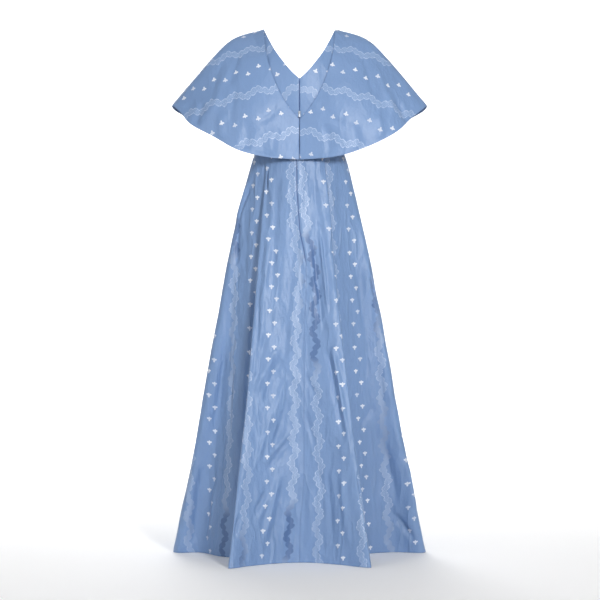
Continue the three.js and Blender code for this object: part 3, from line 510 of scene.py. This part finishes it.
def crease_heights(grid, surface, creases):
    """Heights of all creases on a grid of cloth. A crease fades out at both of its ends."""
    height = np.zeros(grid.shape[:2])
    flat = grid.reshape(-1, 3)
    t = np.linspace(0, 1, CREASE_STEPS + 1)
    for *path, width, depth in creases:
        start, middle, end = np.reshape(path, (3, 2))
        bow = 2 * middle - (start + end) / 2
        path = np.outer((1 - t) ** 2, start) + np.outer(2 * t * (1 - t), bow) + np.outer(t * t, end)
        line = surface(path[:, 0], np.clip(path[:, 1], 0, 1))
        low, high = line.min(0) - CREASE_REACH * width, line.max(0) + CREASE_REACH * width
        near = np.flatnonzero(np.all((flat > low) & (flat < high), axis=1))
        if not len(near):
            continue
        p = flat[near]
        best, place = np.full(len(near), 1e9), np.zeros(len(near))
        for k in range(len(t) - 1):
            a, span = line[k], line[k + 1] - line[k]
            s = np.clip((p - a) @ span / max(span @ span, 1e-9), 0, 1)
            away = np.linalg.norm(p - a - s[:, None] * span, axis=1)
            closer = away < best
            best[closer] = away[closer]
            place[closer] = (t[k] + s * (t[k + 1] - t[k]))[closer]
        fade = smooth(place, 0, CREASE_FADE) * smooth(1 - place, 0, CREASE_FADE)
        height.reshape(-1)[near] += depth * fade * bell(best, width)
    return height


def deselect():
    if bpy.context.object and bpy.context.object.mode != "OBJECT":
        bpy.ops.object.mode_set(mode="OBJECT")
    bpy.ops.object.select_all(action="DESELECT")


def activate(obj):
    deselect()
    obj.select_set(True)
    bpy.context.view_layer.objects.active = obj


def face_outwards(obj):
    activate(obj)
    bpy.ops.object.mode_set(mode="EDIT")
    bpy.ops.mesh.select_all(action="SELECT")
    bpy.ops.mesh.normals_make_consistent(inside=False)
    bpy.ops.object.mode_set(mode="OBJECT")


def cloth(name, grid, uv, face, reverse, tones=None):
    """A sheet of cloth from a grid of points in millimetres, with its flat cut in metres as UV map."""
    nu, nv = grid.shape[:2]
    index = np.arange(nu * nv).reshape(nu, nv)
    quads = np.stack([index[:-1, :-1], index[1:, :-1], index[1:, 1:], index[:-1, 1:]], -1).reshape(-1, 4)
    mesh = bpy.data.meshes.new(name)
    mesh.from_pydata((grid.reshape(-1, 3) * MM).tolist(), [], quads.tolist())
    layer = mesh.uv_layers.new(name="Cloth")
    if uv is not None:
        layer.data.foreach_set("uv", (uv.reshape(-1, 2)[quads.reshape(-1)]).astype(np.float32).ravel())
    for key, values in (tones or {}).items():
        tone = mesh.attributes.new(key, "FLOAT", "POINT")
        tone.data.foreach_set("value", values.reshape(-1).astype(np.float32))
    obj = bpy.data.objects.new(name, mesh)
    bpy.context.collection.objects.link(obj)
    mesh.materials.append(face)
    mesh.materials.append(reverse)
    mesh.shade_smooth()
    return obj


def thicken(obj, thickness):
    activate(obj)
    wall = obj.modifiers.new("Wall", "SOLIDIFY")
    wall.thickness = thickness * MM
    wall.offset = 0
    wall.material_offset = 1
    bpy.ops.object.modifier_apply(modifier=wall.name)


def unfold(obj, shape, column, turn, place):
    """Unfolds a panel flat and true to area, with one of its columns along the turned grain."""
    activate(obj)
    bpy.ops.object.mode_set(mode="EDIT")
    bpy.ops.mesh.select_all(action="SELECT")
    bpy.ops.uv.unwrap(method="CONFORMAL", margin=0)
    bpy.ops.object.mode_set(mode="OBJECT")
    mesh = obj.data
    loops = len(mesh.loops)
    uv = np.empty(loops * 2, np.float32)
    mesh.uv_layers["Cloth"].data.foreach_get("uv", uv)
    vertex = np.empty(loops, np.int32)
    mesh.loops.foreach_get("vertex_index", vertex)
    flat = uv.reshape(-1, 2) @ np.array([1, 1j])
    at = np.zeros(len(mesh.vertices), complex)
    at[vertex] = flat
    q = flat.reshape(-1, 4)
    cells = 0.5 * np.imag(np.conj(q[:, 2] - q[:, 0]) * (q[:, 3] - q[:, 1]))
    area = sum(p.area for p in mesh.polygons)
    scale = np.sqrt(area / abs(cells.sum()))
    index = np.arange(shape[0] * shape[1]).reshape(shape)
    a, b = at[index[column, 0]], at[index[column, -1]]
    direction = (b - a) / abs(b - a)
    aligned = (flat - a) / direction * scale  # the real part runs down the column
    if cells.sum() < 0:
        aligned = np.conj(aligned)
    aligned = aligned * np.exp(1j * np.radians(turn))
    out = np.stack([np.imag(aligned) + place[0] * MM, np.real(aligned) + place[1] * MM], -1)
    mesh.uv_layers["Cloth"].data.foreach_set("uv", out.astype(np.float32).ravel())
    spread = out.max(0) - out.min(0)
    return float(spread[0]), float(spread[1]), area


def dress(obj, node):
    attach(obj, "root")
    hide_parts(node)


def sew(p, garment, surface, thickness, clear):
    """Makes a garment's panels, each cut flat along its grain line and clear of the centre back."""
    silks = p.silks(*SILK_CUT)
    downs = crowded(0, 1, garment["levels"], garment["below"]) ** garment["crowding"]
    for number, (name, first, last, seams, line, turn, place) in enumerate(garment["cut"]):
        rows = crowded(first, last, garment["steps"], garment["beside"])
        grid = surface(*np.meshgrid(rows, downs, indexing="ij"))
        side = (first == 0) - (last == 4)
        if side:
            grid[..., 0] = side * clear(side * grid[..., 0])
        dips, dark, free, across, along, _ = edge_dips(p, grid, seams, garment["edges"])
        height = crease_heights(grid, surface, garment["creases"]) * p.crease
        loose = free * smooth(along, *garment["loose"])
        height += loose * ripples(garment["uneven"], across, along, garment["shift"], number) * p.crease
        height = height * free ** garment["calm"] + dips * garment["dips"]
        grid = grid + normals(grid) * height[..., None]
        # Painted shade: evenly on the vine's floats, and in lines along the seams and edges.
        tones = {"turned": np.full(dark.shape, garment["shine"]), "sewn": dark}
        obj = cloth(name + "_cloth", grid, None, *silks, tones)
        column = int(round(line * (len(grid) - 1)))
        width, length, area = unfold(obj, grid.shape[:2], column, turn, place)
        thicken(obj, thickness)
        dress(obj, name)


# ---- materials ----
class Value:
    """A number that varies over a surface. Python's operators, set below, add the Math nodes."""

    def __init__(self, nodes, socket):
        self.nodes, self.socket = nodes, socket

    def maths(self, operation, *values):
        return self.nodes.add("ShaderNodeMath", {"operation": operation}, dict(enumerate(values)))

    def ease(self, low, high, start=0.0, end=1.0):
        settings = {"interpolation_type": "SMOOTHSTEP"}
        inputs = {"Value": self, "From Min": low, "From Max": high, "To Min": start, "To Max": end}
        return self.nodes.add("ShaderNodeMapRange", settings, inputs)


def operator_node(operation, reflected=False):
    def method(value, *others):
        return value.maths(operation, *((*others, value) if reflected else (value, *others)))

    return method


for key, operation_name in (
    ("add", "ADD"), ("sub", "SUBTRACT"), ("mul", "MULTIPLY"), ("truediv", "DIVIDE"), ("pow", "POWER"),
):
    setattr(Value, f"__{key}__", operator_node(operation_name))
    setattr(Value, f"__r{key}__", operator_node(operation_name, reflected=True))
for key, operation_name in (
    ("__abs__", "ABSOLUTE"), ("floor", "FLOOR"), ("fraction", "FRACT"), ("sine", "SINE"),
    ("least", "MINIMUM"), ("most", "MAXIMUM"),
):
    setattr(Value, key, operator_node(operation_name))


class Nodes:
    """The node tree of one material."""

    def __init__(self, name):
        self.material = bpy.data.materials.new(name)
        self.material.use_nodes = True
        self.tree = self.material.node_tree
        self.tree.nodes.clear()

    def add(self, kind, settings=None, inputs=None, output=0):
        node = self.tree.nodes.new(kind)
        for key, value in (settings or {}).items():
            setattr(node, key, value)
        for key, value in (inputs or {}).items():
            if isinstance(value, Value):
                self.tree.links.new(value.socket, node.inputs[key])
            else:
                node.inputs[key].default_value = value
        return Value(self, node.outputs[output]) if len(node.outputs) else None

    def coordinates(self, uv_map=None):
        if uv_map:
            vector = self.add("ShaderNodeUVMap", {"uv_map": uv_map})
        else:
            vector = self.add("ShaderNodeTexCoord", output="Object")
        parts = self.add("ShaderNodeSeparateXYZ", None, {"Vector": vector}).socket.node
        return vector, [Value(self, parts.outputs[k]) for k in range(3)]

    def mix(self, factor, a, b):
        node = self.add("ShaderNodeMix", {"data_type": "RGBA"}, {0: factor}, 2).socket.node
        for socket, value in ((node.inputs[6], a), (node.inputs[7], b)):
            if isinstance(value, Value):
                self.tree.links.new(value.socket, socket)
            else:
                socket.default_value = (*value[:3], 1)
        return Value(self, node.outputs[2])

    def noise(self, vector, scale, detail=2.0, roughness=0.5, stretch=None):
        if stretch:
            vector = self.add("ShaderNodeMapping", None, {"Vector": vector, "Scale": stretch})
        return self.add(
            "ShaderNodeTexNoise", None,
            {"Vector": vector, "Scale": scale, "Detail": detail, "Roughness": roughness},
        )

    def finish(self, surface, height=None):
        """Surface settings to the output, with a height in metres as bump."""
        inputs = dict(surface)
        if height is not None:
            bump = {"Height": height, "Distance": 1.0, "Strength": 1.0}
            inputs["Normal"] = self.add("ShaderNodeBump", None, bump)
        shader = self.add("ShaderNodeBsdfPrincipled", None, inputs)
        self.add("ShaderNodeOutputMaterial", None, {"Surface": shader})
        return self.material

    def ellipse(self, x, y, angle, centre, along, across):
        """Squared distance from a leaf's middle, 1 at its outline. Angle is from straight up."""
        s, c = float(np.sin(np.radians(angle))), float(np.cos(np.radians(angle)))
        run = (x * s + y * c - centre) / along
        side = (x * c - y * s) / across
        return run * run + side * side


def shade(colour, factor):
    return tuple(np.array(colour) * factor)


def figure_masks(nodes, u, v, p, turn):
    """The woven figure: a leafy zigzag vine and zigzag rows of small sprigs, in turn across the cloth."""
    repeat, zig, sway = p.figure_repeat, p.vine_pitch, p.vine_sway
    across = ((u / repeat + 0.5).fraction() - 0.5) * repeat
    wave = abs((v / zig).fraction() * 2 - 1) * 2 - 1
    beside = across - wave * sway
    scallop = abs((v * (np.pi / p.leaf_pitch)).sine()) * (0.55 * p.leaf_width) + 0.45 * p.leaf_width
    edge = abs(beside) - scallop
    body = edge.ease(0.0005, -0.0005)
    vein = (((v + abs(beside) * 1.1) / p.vein_pitch).fraction() - 0.5) * p.vein_pitch
    vine = abs(edge).ease(0.0017, 0.0007).most(abs(vein).ease(0.0012, 0.0005) * body * 0.65)

    step = p.sprig_pitch
    column = ((u / repeat).fraction() - 0.5) * repeat
    number = (v / step).floor()
    side = (number / 2).fraction() * 4 - 1
    x = column - side * p.sprig_sway
    y = (0.5 - (v / step).fraction()) * step
    petals = None
    for angle, *leaf in PETALS:
        petal = nodes.ellipse(x, y, turn + angle, *leaf)
        petals = petals.least(petal) if petals else petal
    sprig = petals.ease(1.3, 0.6)
    return vine, body, sprig, number + (u / repeat).floor() * 17


def silk(name, p, reverse, sprig_turn, rumple):
    """Taffeta with its figure. Heights are in metres, and rumple is the share of its fine folds."""
    nodes = Nodes(name)
    uv, (u, v, _) = nodes.coordinates("Cloth")
    place, _ = nodes.coordinates()
    vine, body, sprig, number = figure_masks(nodes, u, v, p, sprig_turn)
    # painted shade on the vine's floats, where they turn away from the light
    turned = nodes.add("ShaderNodeAttribute", {"attribute_name": "turned"}, None, 2)
    # painted shade of the seams, the edges and the zip's slit
    sewn = nodes.add("ShaderNodeAttribute", {"attribute_name": "sewn"}, None, 2)
    dark = shade(p.ground, TURNED_SHADE)
    slub = nodes.noise(uv, 1.0, 2.0, 0.6, (60.0, 900.0, 1.0))
    cloud = nodes.noise(place, 7.0, 3.0, 0.55)
    tone = (slub - 0.5) * 0.16 + (cloud - 0.5) * 0.5
    colour = nodes.mix((tone + 0.5).ease(0.2, 0.8), shade(p.ground, 0.93), shade(p.ground, 1.07))
    # The vine's floats go from their colour where they catch the light to painted shade.
    float_tone = nodes.mix(turned, tuple(p.vine_colour), dark)
    patchy = nodes.noise(uv, 300.0, 2.0).ease(0.36, 0.58, 0.3, 1.0)
    colour = nodes.mix((vine * patchy * 0.74).most(body * (0.05 + turned * 0.9)), colour, float_tone)
    chance = nodes.add("ShaderNodeTexWhiteNoise", {"noise_dimensions": "1D"}, {"W": number}, "Value")
    white = sprig * (chance * 0.4 + (0.2 if reverse else 0.58))
    colour = nodes.mix(white, colour, tuple(p.sprig_colour))
    # painted shade in the seams and the slit
    colour = nodes.mix(sewn, colour, shade(p.ground, SEAM_SHADE_TINT))
    # The reverse is darker: partly the duller back of the weave, partly painted shade of the garment's
    # inside.
    if reverse:
        colour = nodes.mix(0.75, colour, shade(dark, 0.7))
    rib = (v * (2 * np.pi / p.rib_pitch)).sine() * RELIEF["rib"]
    folds = 1 - abs(nodes.noise(place, 15.0, 2.0, 0.5, (1.3, 1.3, 0.38)) * 2 - 1)
    crinkle = nodes.noise(place, 40.0, 3.0, 0.55, (1.1, 1.1, 0.42)) * (RELIEF["crinkle"] * rumple)
    crinkle = crinkle + folds**3 * (RELIEF["fold"] * rumple)
    dimples = nodes.noise(place, 150.0, 2.0, 0.5) * RELIEF["dimple"]
    height = rib + crinkle + dimples + vine * RELIEF["vine"] + sprig * RELIEF["sprig"] + slub * RELIEF["slub"]
    rough = tone * 0.25 + p.roughness + (0.1 if reverse else 0.0) + sprig * 0.2 - vine * 0.05
    surface = {
        "Base Color": colour, "Roughness": rough, "Sheen Weight": 0.25, "Sheen Roughness": 0.35,
        "Sheen Tint": (0.75, 0.84, 1.0, 1.0), "Specular IOR Level": 0.45,
    }
    return nodes.finish(surface, height)


def tape_cloth(p):
    nodes = Nodes("zip tape")
    uv, (u, v, _) = nodes.coordinates("Cloth")
    rows, ribs = ((axis * (2 * np.pi / pitch)).sine() * 0.5 + 0.5 for axis, pitch in zip((v, u), TAPE_WEAVE))
    weave = rows * ribs
    colour = nodes.mix(weave, shade(p.tape_colour, 0.7), tuple(p.tape_colour))
    return nodes.finish({"Base Color": colour, "Roughness": 0.8}, weave * 0.00012)


def grainy(name, colour, shades, texture, surface, roughness=None, brushed=False):
    """A plain material between two shades of a colour. Roughness is its least and its spread."""
    nodes = Nodes(name)
    place, _ = nodes.coordinates()
    grain = nodes.noise(place, *texture)
    surface = {"Base Color": nodes.mix(grain, *(shade(colour, factor) for factor in shades)), **surface}
    if roughness:
        surface["Roughness"] = grain * roughness[1] + roughness[0]
    lines = nodes.noise(place, 1.0, 2.0, 0.6, BRUSHED) * 0.00002 if brushed else None
    return nodes.finish(surface, lines)


def nylon(p):
    return grainy("zip teeth", p.tape_colour, (0.8, 1.5), (900.0,), {}, (0.3, 0.2))


def nickel(p):
    metal = {"Metallic": 1.0}
    return grainy("nickel", p.metal_colour, (0.8, 1.0), (420.0, 3.0, 0.6), metal, (0.28, 0.2), True)


def studio_paper(p):
    return grainy("studio paper", p.paper, (0.985, 1.0), (3.0, 3.0, 0.5), {"Roughness": 0.9})


# ---- what a user would change ----
def metres(name, description, default):
    return FloatProperty(name=name, description=description, default=default, unit="LENGTH")


def millimetres(name, description, default, low=0.0, high=100.0):
    return FloatProperty(name=name, description=description + ", mm", default=default, min=low, max=high)


def tint(name, description, default):
    return FloatVectorProperty(name=name, description=description, default=default, subtype="COLOR")


class GownSizes(bpy.types.PropertyGroup):
    """Sizes of the cloth and of its woven figure."""

    cloth: millimetres("Cloth", "Thickness of the single silk", 0.8, 0.3, 1.2)
    capelet_cloth: millimetres("Capelet cloth", "Thickness of the doubled silk", 1.2, 0.5, 1.5)
    seam_depth: millimetres("Seam depth", "How far a seam sinks in", 0.9)
    seam_width: millimetres("Seam width", "Half the width of a seam's dip", 2.6)
    # How dark the painted shade line in a seam is.
    seam_shade_strength: FloatProperty(name="Seam line", description="How dark a seam's line is", default=0.5)
    hem_depth: millimetres("Hem depth", "Height of the turned hem", 24.0)
    crease: FloatProperty(name="Creases", description="Share of the full depth of all creases", default=1.4)
    skirt_levels: IntProperty(name="Skirt levels", description="Steps of the skirt's mesh", default=130)
    figure_repeat: metres("Repeat", "From vine to vine across the cloth", 0.134)
    vine_pitch: metres("Vine pitch", "Length of one zigzag", 0.066)
    vine_sway: metres("Vine sway", "Half the zigzag's width", 0.0078)
    leaf_pitch: metres("Leaf pitch", "Length of one leaf of the vine", 0.017)
    leaf_width: metres("Leaf width", "Half the width of a leaf", 0.0102)
    vein_pitch: metres("Vein pitch", "From vein to vein", 0.0056)
    sprig_pitch: metres("Sprig pitch", "From sprig to sprig down the cloth", 0.033)
    sprig_sway: metres("Sprig sway", "How far a sprig stands beside its row", 0.008)
    rib_pitch: metres("Rib pitch", "Rib of the taffeta", 0.0011)


class GownFinishes(bpy.types.PropertyGroup):
    """Colours and finishes."""

    ground: tint("Silk", "Ground of the silk", (0.176, 0.286, 0.505))
    vine_colour: tint("Vine", "Vine where it catches the light", (0.56, 0.67, 0.85))
    sprig_colour: tint("Sprigs", "Thread of the sprigs", (0.76, 0.80, 0.88))
    # The tape is darker than the silk: partly its own dye, partly painted shade of the slit it is seen
    # through.
    tape_colour: tint("Tape", "Zip tape", (0.045, 0.10, 0.28))
    metal_colour: tint("Metal", "Slider and pull tab", (0.56, 0.60, 0.66))
    paper: tint("Paper", "Floor and backdrop", (0.95, 0.95, 0.95))
    roughness: FloatProperty(
        name="Roughness", description="Roughness of the silk", default=0.42, subtype="FACTOR"
    )


class Dressmaker:
    """What the sizes and finishes of the scene give to every operator."""

    def __init__(self):
        sizes, finishes = bpy.context.scene.gown_sizes, bpy.context.scene.gown_finishes
        for group in (sizes, finishes):
            for key in group.bl_rna.properties.keys():
                if key not in ("rna_type", "name"):
                    setattr(self, key, getattr(group, key))

    def silks(self, sprig_turn=0, rumple=1.0):
        names = [f"figured silk {sprig_turn}", f"figured silk {sprig_turn} reverse"]
        for name in names:
            if name not in bpy.data.materials:
                silk(name, self, name.endswith("reverse"), sprig_turn, rumple)
        return [bpy.data.materials[name] for name in names]


def edge_dips(p, grid, ends, downs):
    """Dips and lines of painted shade at the four edges, given the depth of each, and where the cloth is
    free.
    """
    across, along = lengths(grid, 0), lengths(grid, 1)
    from_end = across[-1:] - across
    from_hem = along[:, -1:] - along
    height, sewn = np.zeros(grid.shape[:2]), np.zeros(grid.shape[:2])
    for depth, away in ((ends[0], across), (ends[1], from_end), (downs[0], along), (downs[1], from_hem)):
        height -= depth * p.seam_depth * bell(away, p.seam_width)
        # a line of painted shade along each edge, as dark as its seam is deep
        sewn = np.maximum(sewn, depth * p.seam_shade_strength * bell(away, SEAM_SHADE_WIDTH))
    nearest = np.minimum(np.minimum(across, from_end), np.minimum(along, from_hem))
    return height, np.clip(sewn, 0, 1), smooth(nearest, 0, FREE_FROM), across, along, from_hem


# ---- operators ----
class GOWN_OT_camera(bpy.types.Operator):
    """Stands the camera level behind the gown, at the height of its middle"""

    bl_idname = "gown.camera"
    bl_label = "Camera"

    def execute(self, context):
        deselect()
        bpy.ops.object.camera_add(location=CAMERA_PLACE, rotation=(np.pi / 2, 0, np.pi))
        camera = context.object
        camera.name = "camera"
        camera.data.sensor_width = SENSOR
        camera.data.lens = SENSOR * FOCAL / PICTURE_WIDTH
        camera.data.clip_end = 40
        context.scene.camera = camera
        return {"FINISHED"}


class GOWN_OT_skirt(bpy.types.Operator):
    """Cuts and hangs the five gores of the skirt"""

    bl_idname = "gown.skirt"
    bl_label = "Skirt"

    def execute(self, context):
        p = Dressmaker()
        silks = p.silks()
        downs = crowded(0, 1, p.skirt_levels, (0.001, 0.003, 0.006))
        for name, first, last, grain, shift_u, shift_v, lean, sewn_to in GORES:
            rows = crowded(first, last, SKIRT_STEPS, (0.015, 0.04, 0.08, 0.13))
            around, down = np.meshgrid(rows, downs, indexing="ij")
            is_left, is_right = first == 0, last == DRAPE_ROWS
            nudge = 0.02
            step = skirt(np.full_like(downs, nudge), downs) - skirt(np.zeros_like(downs), downs)
            slide = np.interp(downs, *SEAM_WANDER.T) / (np.linalg.norm(step, axis=-1) / nudge)
            if is_left:
                around = around + slide * np.maximum(1 - rows / WANDER_ROWS, 0)[:, None]
            if is_right:
                around = around + slide * np.maximum(1 - (DRAPE_ROWS - rows) / WANDER_ROWS, 0)[:, None]
            grid = skirt(around, down)
            ends = (CENTRE_BACK if is_left else 1.0, CENTRE_BACK if is_right else 1.0)
            # dips at the seams, and lines of painted shade along them
            dips, sewn, free, across, along, from_hem = edge_dips(p, grid, ends, (1.0, 0.1))
            across = across - [np.interp(grain, rows, column) for column in across.T]
            height = crease_heights(grid, skirt, SKIRT_CREASES) * p.crease
            seed = 11 + first
            height += free * ripples(SKIRT_UNEVEN, across, along, 900, seed) * p.crease
            height = height * free**0.3 + dips
            if is_left or is_right:
                away = across - across[:1] if is_left else across[-1:] - across
                height, sewn = self.centre_back(height, sewn, away, down)
            height += HEM_RIDGE * smooth(p.hem_depth + 1 - from_hem, 0, 2)
            grid = grid + normals(grid) * height[..., None]
            uv = np.stack([across + shift_u - lean * along, along + shift_v], -1) * MM
            # Painted shade on the vine's floats: a random base and the listed spots.
            cell, step = SKIRT_SHINE["cell"], SKIRT_SHINE["step"]
            shine = unevenness(across + SKIRT_SHINE["shift"], along, *cell, seed + step)
            turned = SKIRT_SHINE["least"] + SKIRT_SHINE["spread"] * shine
            for row, share, reach, amount in FLOAT_SHADE_SPOTS:
                spot = skirt(np.array(float(row)), np.array(share))
                turned = turned + amount * np.exp(-((((grid - spot) ** 2).sum(-1) / reach**2) ** 1.5))
            tones = {"turned": np.clip(turned, 0, 1), "sewn": sewn}
            obj = cloth(name + "_cloth", grid, uv, *silks, tones)
            thicken(obj, p.cloth)
            dress(obj, name)
        return {"FINISHED"}

    def centre_back(self, height, sewn, away, down):
        """Two laps of cloth over the zip with a line of painted shade in the slot between them, and a pressed
        ridge beside the seam below it.
        """
        zipped = smooth(ZIP["skirt_share"] + LAPS["end"] / 2 - down, 0, LAPS["end"])
        height = height * (1 - zipped * bell(away, LAPS["calm"]))
        lap = LAPS["ridge"] * bell(away - LAPS["at"], LAPS["width"])
        height += zipped * (lap - LAPS["sink"] * bell(away, LAPS["slot"]))
        pressed = smooth(down, PRESSED["from"], PRESSED["full"])
        pressed = pressed * smooth(PRESSED["to"] - down, 0, PRESSED["fade"])
        height += pressed * PRESSED["ridge"] * bell(away - PRESSED["at"], PRESSED["width"])
        # a line of painted shade in the slot between the laps
        line = zipped * bell(away, SLIT_SHADE["width"]) * SLIT_SHADE["depth"]
        return height, np.maximum(sewn, line)


class GOWN_OT_bodice(bpy.types.Operator):
    """Cuts the three panels of the bodice"""

    bl_idname = "gown.bodice"
    bl_label = "Bodice"

    def execute(self, context):
        p = Dressmaker()
        half_slit = ZIP["slit"] / 2
        sew(p, BODICE, bodice, p.cloth, lambda x: np.where(x < half_slit, half_slit + SQUEEZE * x, x))
        return {"FINISHED"}


class GOWN_OT_capelet(bpy.types.Operator):
    """Cuts the three panels of the capelet and lays them over the shoulders"""

    bl_idname = "gown.capelet"
    bl_label = "Capelet"

    def execute(self, context):
        p = Dressmaker()
        sew(p, CAPE, capelet, p.capelet_cloth, lambda x: np.maximum(x, HALF_GAP))
        return {"FINISHED"}


class GOWN_OT_zip(bpy.types.Operator):
    """Makes the zip's tape and teeth, and gives the slider and pull tab their metal"""

    bl_idname = "gown.zip"
    bl_label = "Zip"

    def execute(self, context):
        p = Dressmaker()
        levels = np.concatenate([np.linspace(0, 1, TAPE_ROWS_BODICE), np.linspace(1, 2, TAPE_ROWS_SKIRT)[1:]])
        across = np.linspace(-ZIP["width"] / 2, ZIP["width"] / 2, TAPE_COLUMNS)
        grid = np.empty((len(across), len(levels), 3))
        for j, level in enumerate(levels):
            in_bodice = level <= 1
            surface = bodice if in_bodice else skirt
            share = np.array(level if in_bodice else (level - 1) * ZIP["skirt_share"])
            nudge = 1e-3
            spacing = (surface(np.array(nudge), share)[0] - surface(np.array(0.0), share)[0]) / nudge
            slide = 0 if in_bodice else min(1, 5 * (level - 1)) * np.interp(share, *SEAM_WANDER.T)
            grid[:, j] = surface((across + slide) / spacing, np.full(len(across), float(share)))
        back = CAD_CLOTH / 2 + ZIP["behind"] + ZIP["tape"] / 2
        grid = grid - normals(grid) * back
        u, v = lengths(grid, 0), lengths(grid, 1)
        plain = tape_cloth(p)
        tape = cloth("zip_tape_cloth", grid, np.stack([u, v], -1) * MM, plain, plain)
        thicken(tape, ZIP["cloth"])
        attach(tape, "root")
        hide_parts("zip_tape")
        self.teeth(p)
        metal = nickel(p)
        for node in ("zip_slider", "zip_pull"):
            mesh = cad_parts[node].data
            mesh.materials.clear()
            mesh.materials.append(metal)
        return {"FINISHED"}

    def teeth(self, p):
        """One tooth with eight sides, copied down the slit to both sides in turn."""
        pitch, width, rise = TOOTH["pitch"], TOOTH["width"], TOOTH["rise"]
        downs = np.linspace(*TEETH_SHARES, 400)
        line = bodice(np.zeros_like(downs), downs)
        run = np.concatenate([[0], np.cumsum(np.linalg.norm(np.diff(line, axis=0), axis=1))])

        def at(s):
            return np.array([np.interp(s, run, line[:, axis]) for axis in range(3)])

        low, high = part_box("zip_slider")
        points, faces = [], []
        angles = np.radians(np.arange(22.5, 360, 45))
        ring = np.stack([np.cos(angles) * pitch * TOOTH["fill"], np.sin(angles) * rise / 2], -1)
        for k, s in enumerate(np.arange(1, run[-1], pitch)):
            centre = at(s)
            if low[2] - MM < centre[2] * MM < high[2] + MM:
                continue
            ahead = at(s + 1) - centre
            ahead /= np.linalg.norm(ahead)
            out = np.cross((1, 0, 0), ahead)
            out = out if out[1] > 0 else -out
            centre = centre - out * (TOOTH["behind"] + rise / 2)
            side = TOOTH["offset"] if k % 2 else -TOOTH["offset"]
            base = len(points)
            for x in (-width / 2 + side, width / 2 + side):
                points += [(centre + np.array((x, 0, 0)) + ahead * a + out * b) * MM for a, b in ring]
            faces.append([base + i for i in range(7, -1, -1)])
            faces.append([base + 8 + i for i in range(8)])
            faces += [[base + i, base + (i + 1) % 8, base + 8 + (i + 1) % 8, base + 8 + i] for i in range(8)]
        mesh = bpy.data.meshes.new("zip_teeth")
        mesh.from_pydata([tuple(q) for q in points], [], faces)
        mesh.materials.append(nylon(p))
        obj = bpy.data.objects.new("zip_teeth", mesh)
        bpy.context.collection.objects.link(obj)
        face_outwards(obj)
        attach(obj, "root")


class GOWN_OT_studio(bpy.types.Operator):
    """Lays the floor and backdrop and hangs the soft lights"""

    bl_idname = "gown.studio"
    bl_label = "Studio"

    def execute(self, context):
        p = Dressmaker()
        deselect()
        bpy.ops.mesh.primitive_plane_add(size=1, location=(0, 0, 0))
        sweep = context.object
        sweep.name = "floor"
        mesh = sweep.data
        floor = -GOWN_LENGTH * MM - SWEEP["gap"]
        width, radius, back = SWEEP["width"], SWEEP["radius"], SWEEP["back"]
        angles = np.linspace(0, np.pi / 2, 17)
        bend = [(back - radius * np.sin(a), floor + radius * (1 - np.cos(a))) for a in angles]
        profile = [(SWEEP["front"], floor), *bend, (back - radius, SWEEP["top"])]
        points = [(x, y, z) for y, z in profile for x in (-width, width)]
        faces = [(2 * i, 2 * i + 1, 2 * i + 3, 2 * i + 2) for i in range(len(profile) - 1)]
        mesh.clear_geometry()
        mesh.from_pydata(points, [], faces)
        mesh.shade_smooth()
        mesh.materials.append(studio_paper(p))
        face_outwards(sweep)
        for name, place, aim, size, power, spread, colour in LAMPS:
            bpy.ops.object.light_add(type="AREA", location=place)
            lamp = context.object
            lamp.name = name
            lamp.data.shape = "DISK"
            lamp.data.size = size
            lamp.data.energy = power
            lamp.data.color = colour
            lamp.data.spread = np.radians(spread)
            lamp.visible_camera = False
            away = np.array(place) - np.array(aim)
            tilt, turn = np.arccos(away[2] / np.linalg.norm(away)), np.arctan2(away[1], away[0]) + np.pi / 2
            lamp.rotation_euler = (float(tilt), 0, float(turn))
        world = bpy.data.worlds.new("studio")
        context.scene.world = world
        world.use_nodes = True
        sky = world.node_tree.nodes["Background"]
        sky.inputs["Color"].default_value = (1.0, 1.0, 1.0, 1)
        sky.inputs["Strength"].default_value = SKY
        context.scene.view_settings.view_transform = "Standard"
        context.scene.view_settings.look = "None"
        return {"FINISHED"}


class GOWN_PT_panel(bpy.types.Panel):
    """The gown's pieces, sizes and finishes"""

    bl_label = "Capelet gown"
    bl_idname = "GOWN_PT_panel"
    bl_space_type = "VIEW_3D"
    bl_region_type = "UI"
    bl_category = "Gown"

    def draw(self, context):
        for operator in OPERATORS:
            self.layout.operator(operator.bl_idname)
        for group in (context.scene.gown_sizes, context.scene.gown_finishes):
            box = self.layout.box()
            for key in group.bl_rna.properties.keys():
                if key not in ("rna_type", "name"):
                    box.prop(group, key)


OPERATORS = (GOWN_OT_camera, GOWN_OT_skirt, GOWN_OT_bodice, GOWN_OT_capelet, GOWN_OT_zip, GOWN_OT_studio)
CLASSES = (GownSizes, GownFinishes, *OPERATORS, GOWN_PT_panel)


def register():
    for item in CLASSES:
        bpy.utils.register_class(item)
    bpy.types.Scene.gown_sizes = PointerProperty(type=GownSizes)
    bpy.types.Scene.gown_finishes = PointerProperty(type=GownFinishes)


def unregister():
    del bpy.types.Scene.gown_finishes
    del bpy.types.Scene.gown_sizes
    for item in reversed(CLASSES):
        bpy.utils.unregister_class(item)


def main():
    register()
    bpy.ops.gown.camera()
    bpy.ops.gown.bodice()
    bpy.ops.gown.capelet()
    bpy.ops.gown.skirt()
    bpy.ops.gown.zip()
    bpy.ops.gown.studio()


if __name__ == "__main__":
    main()
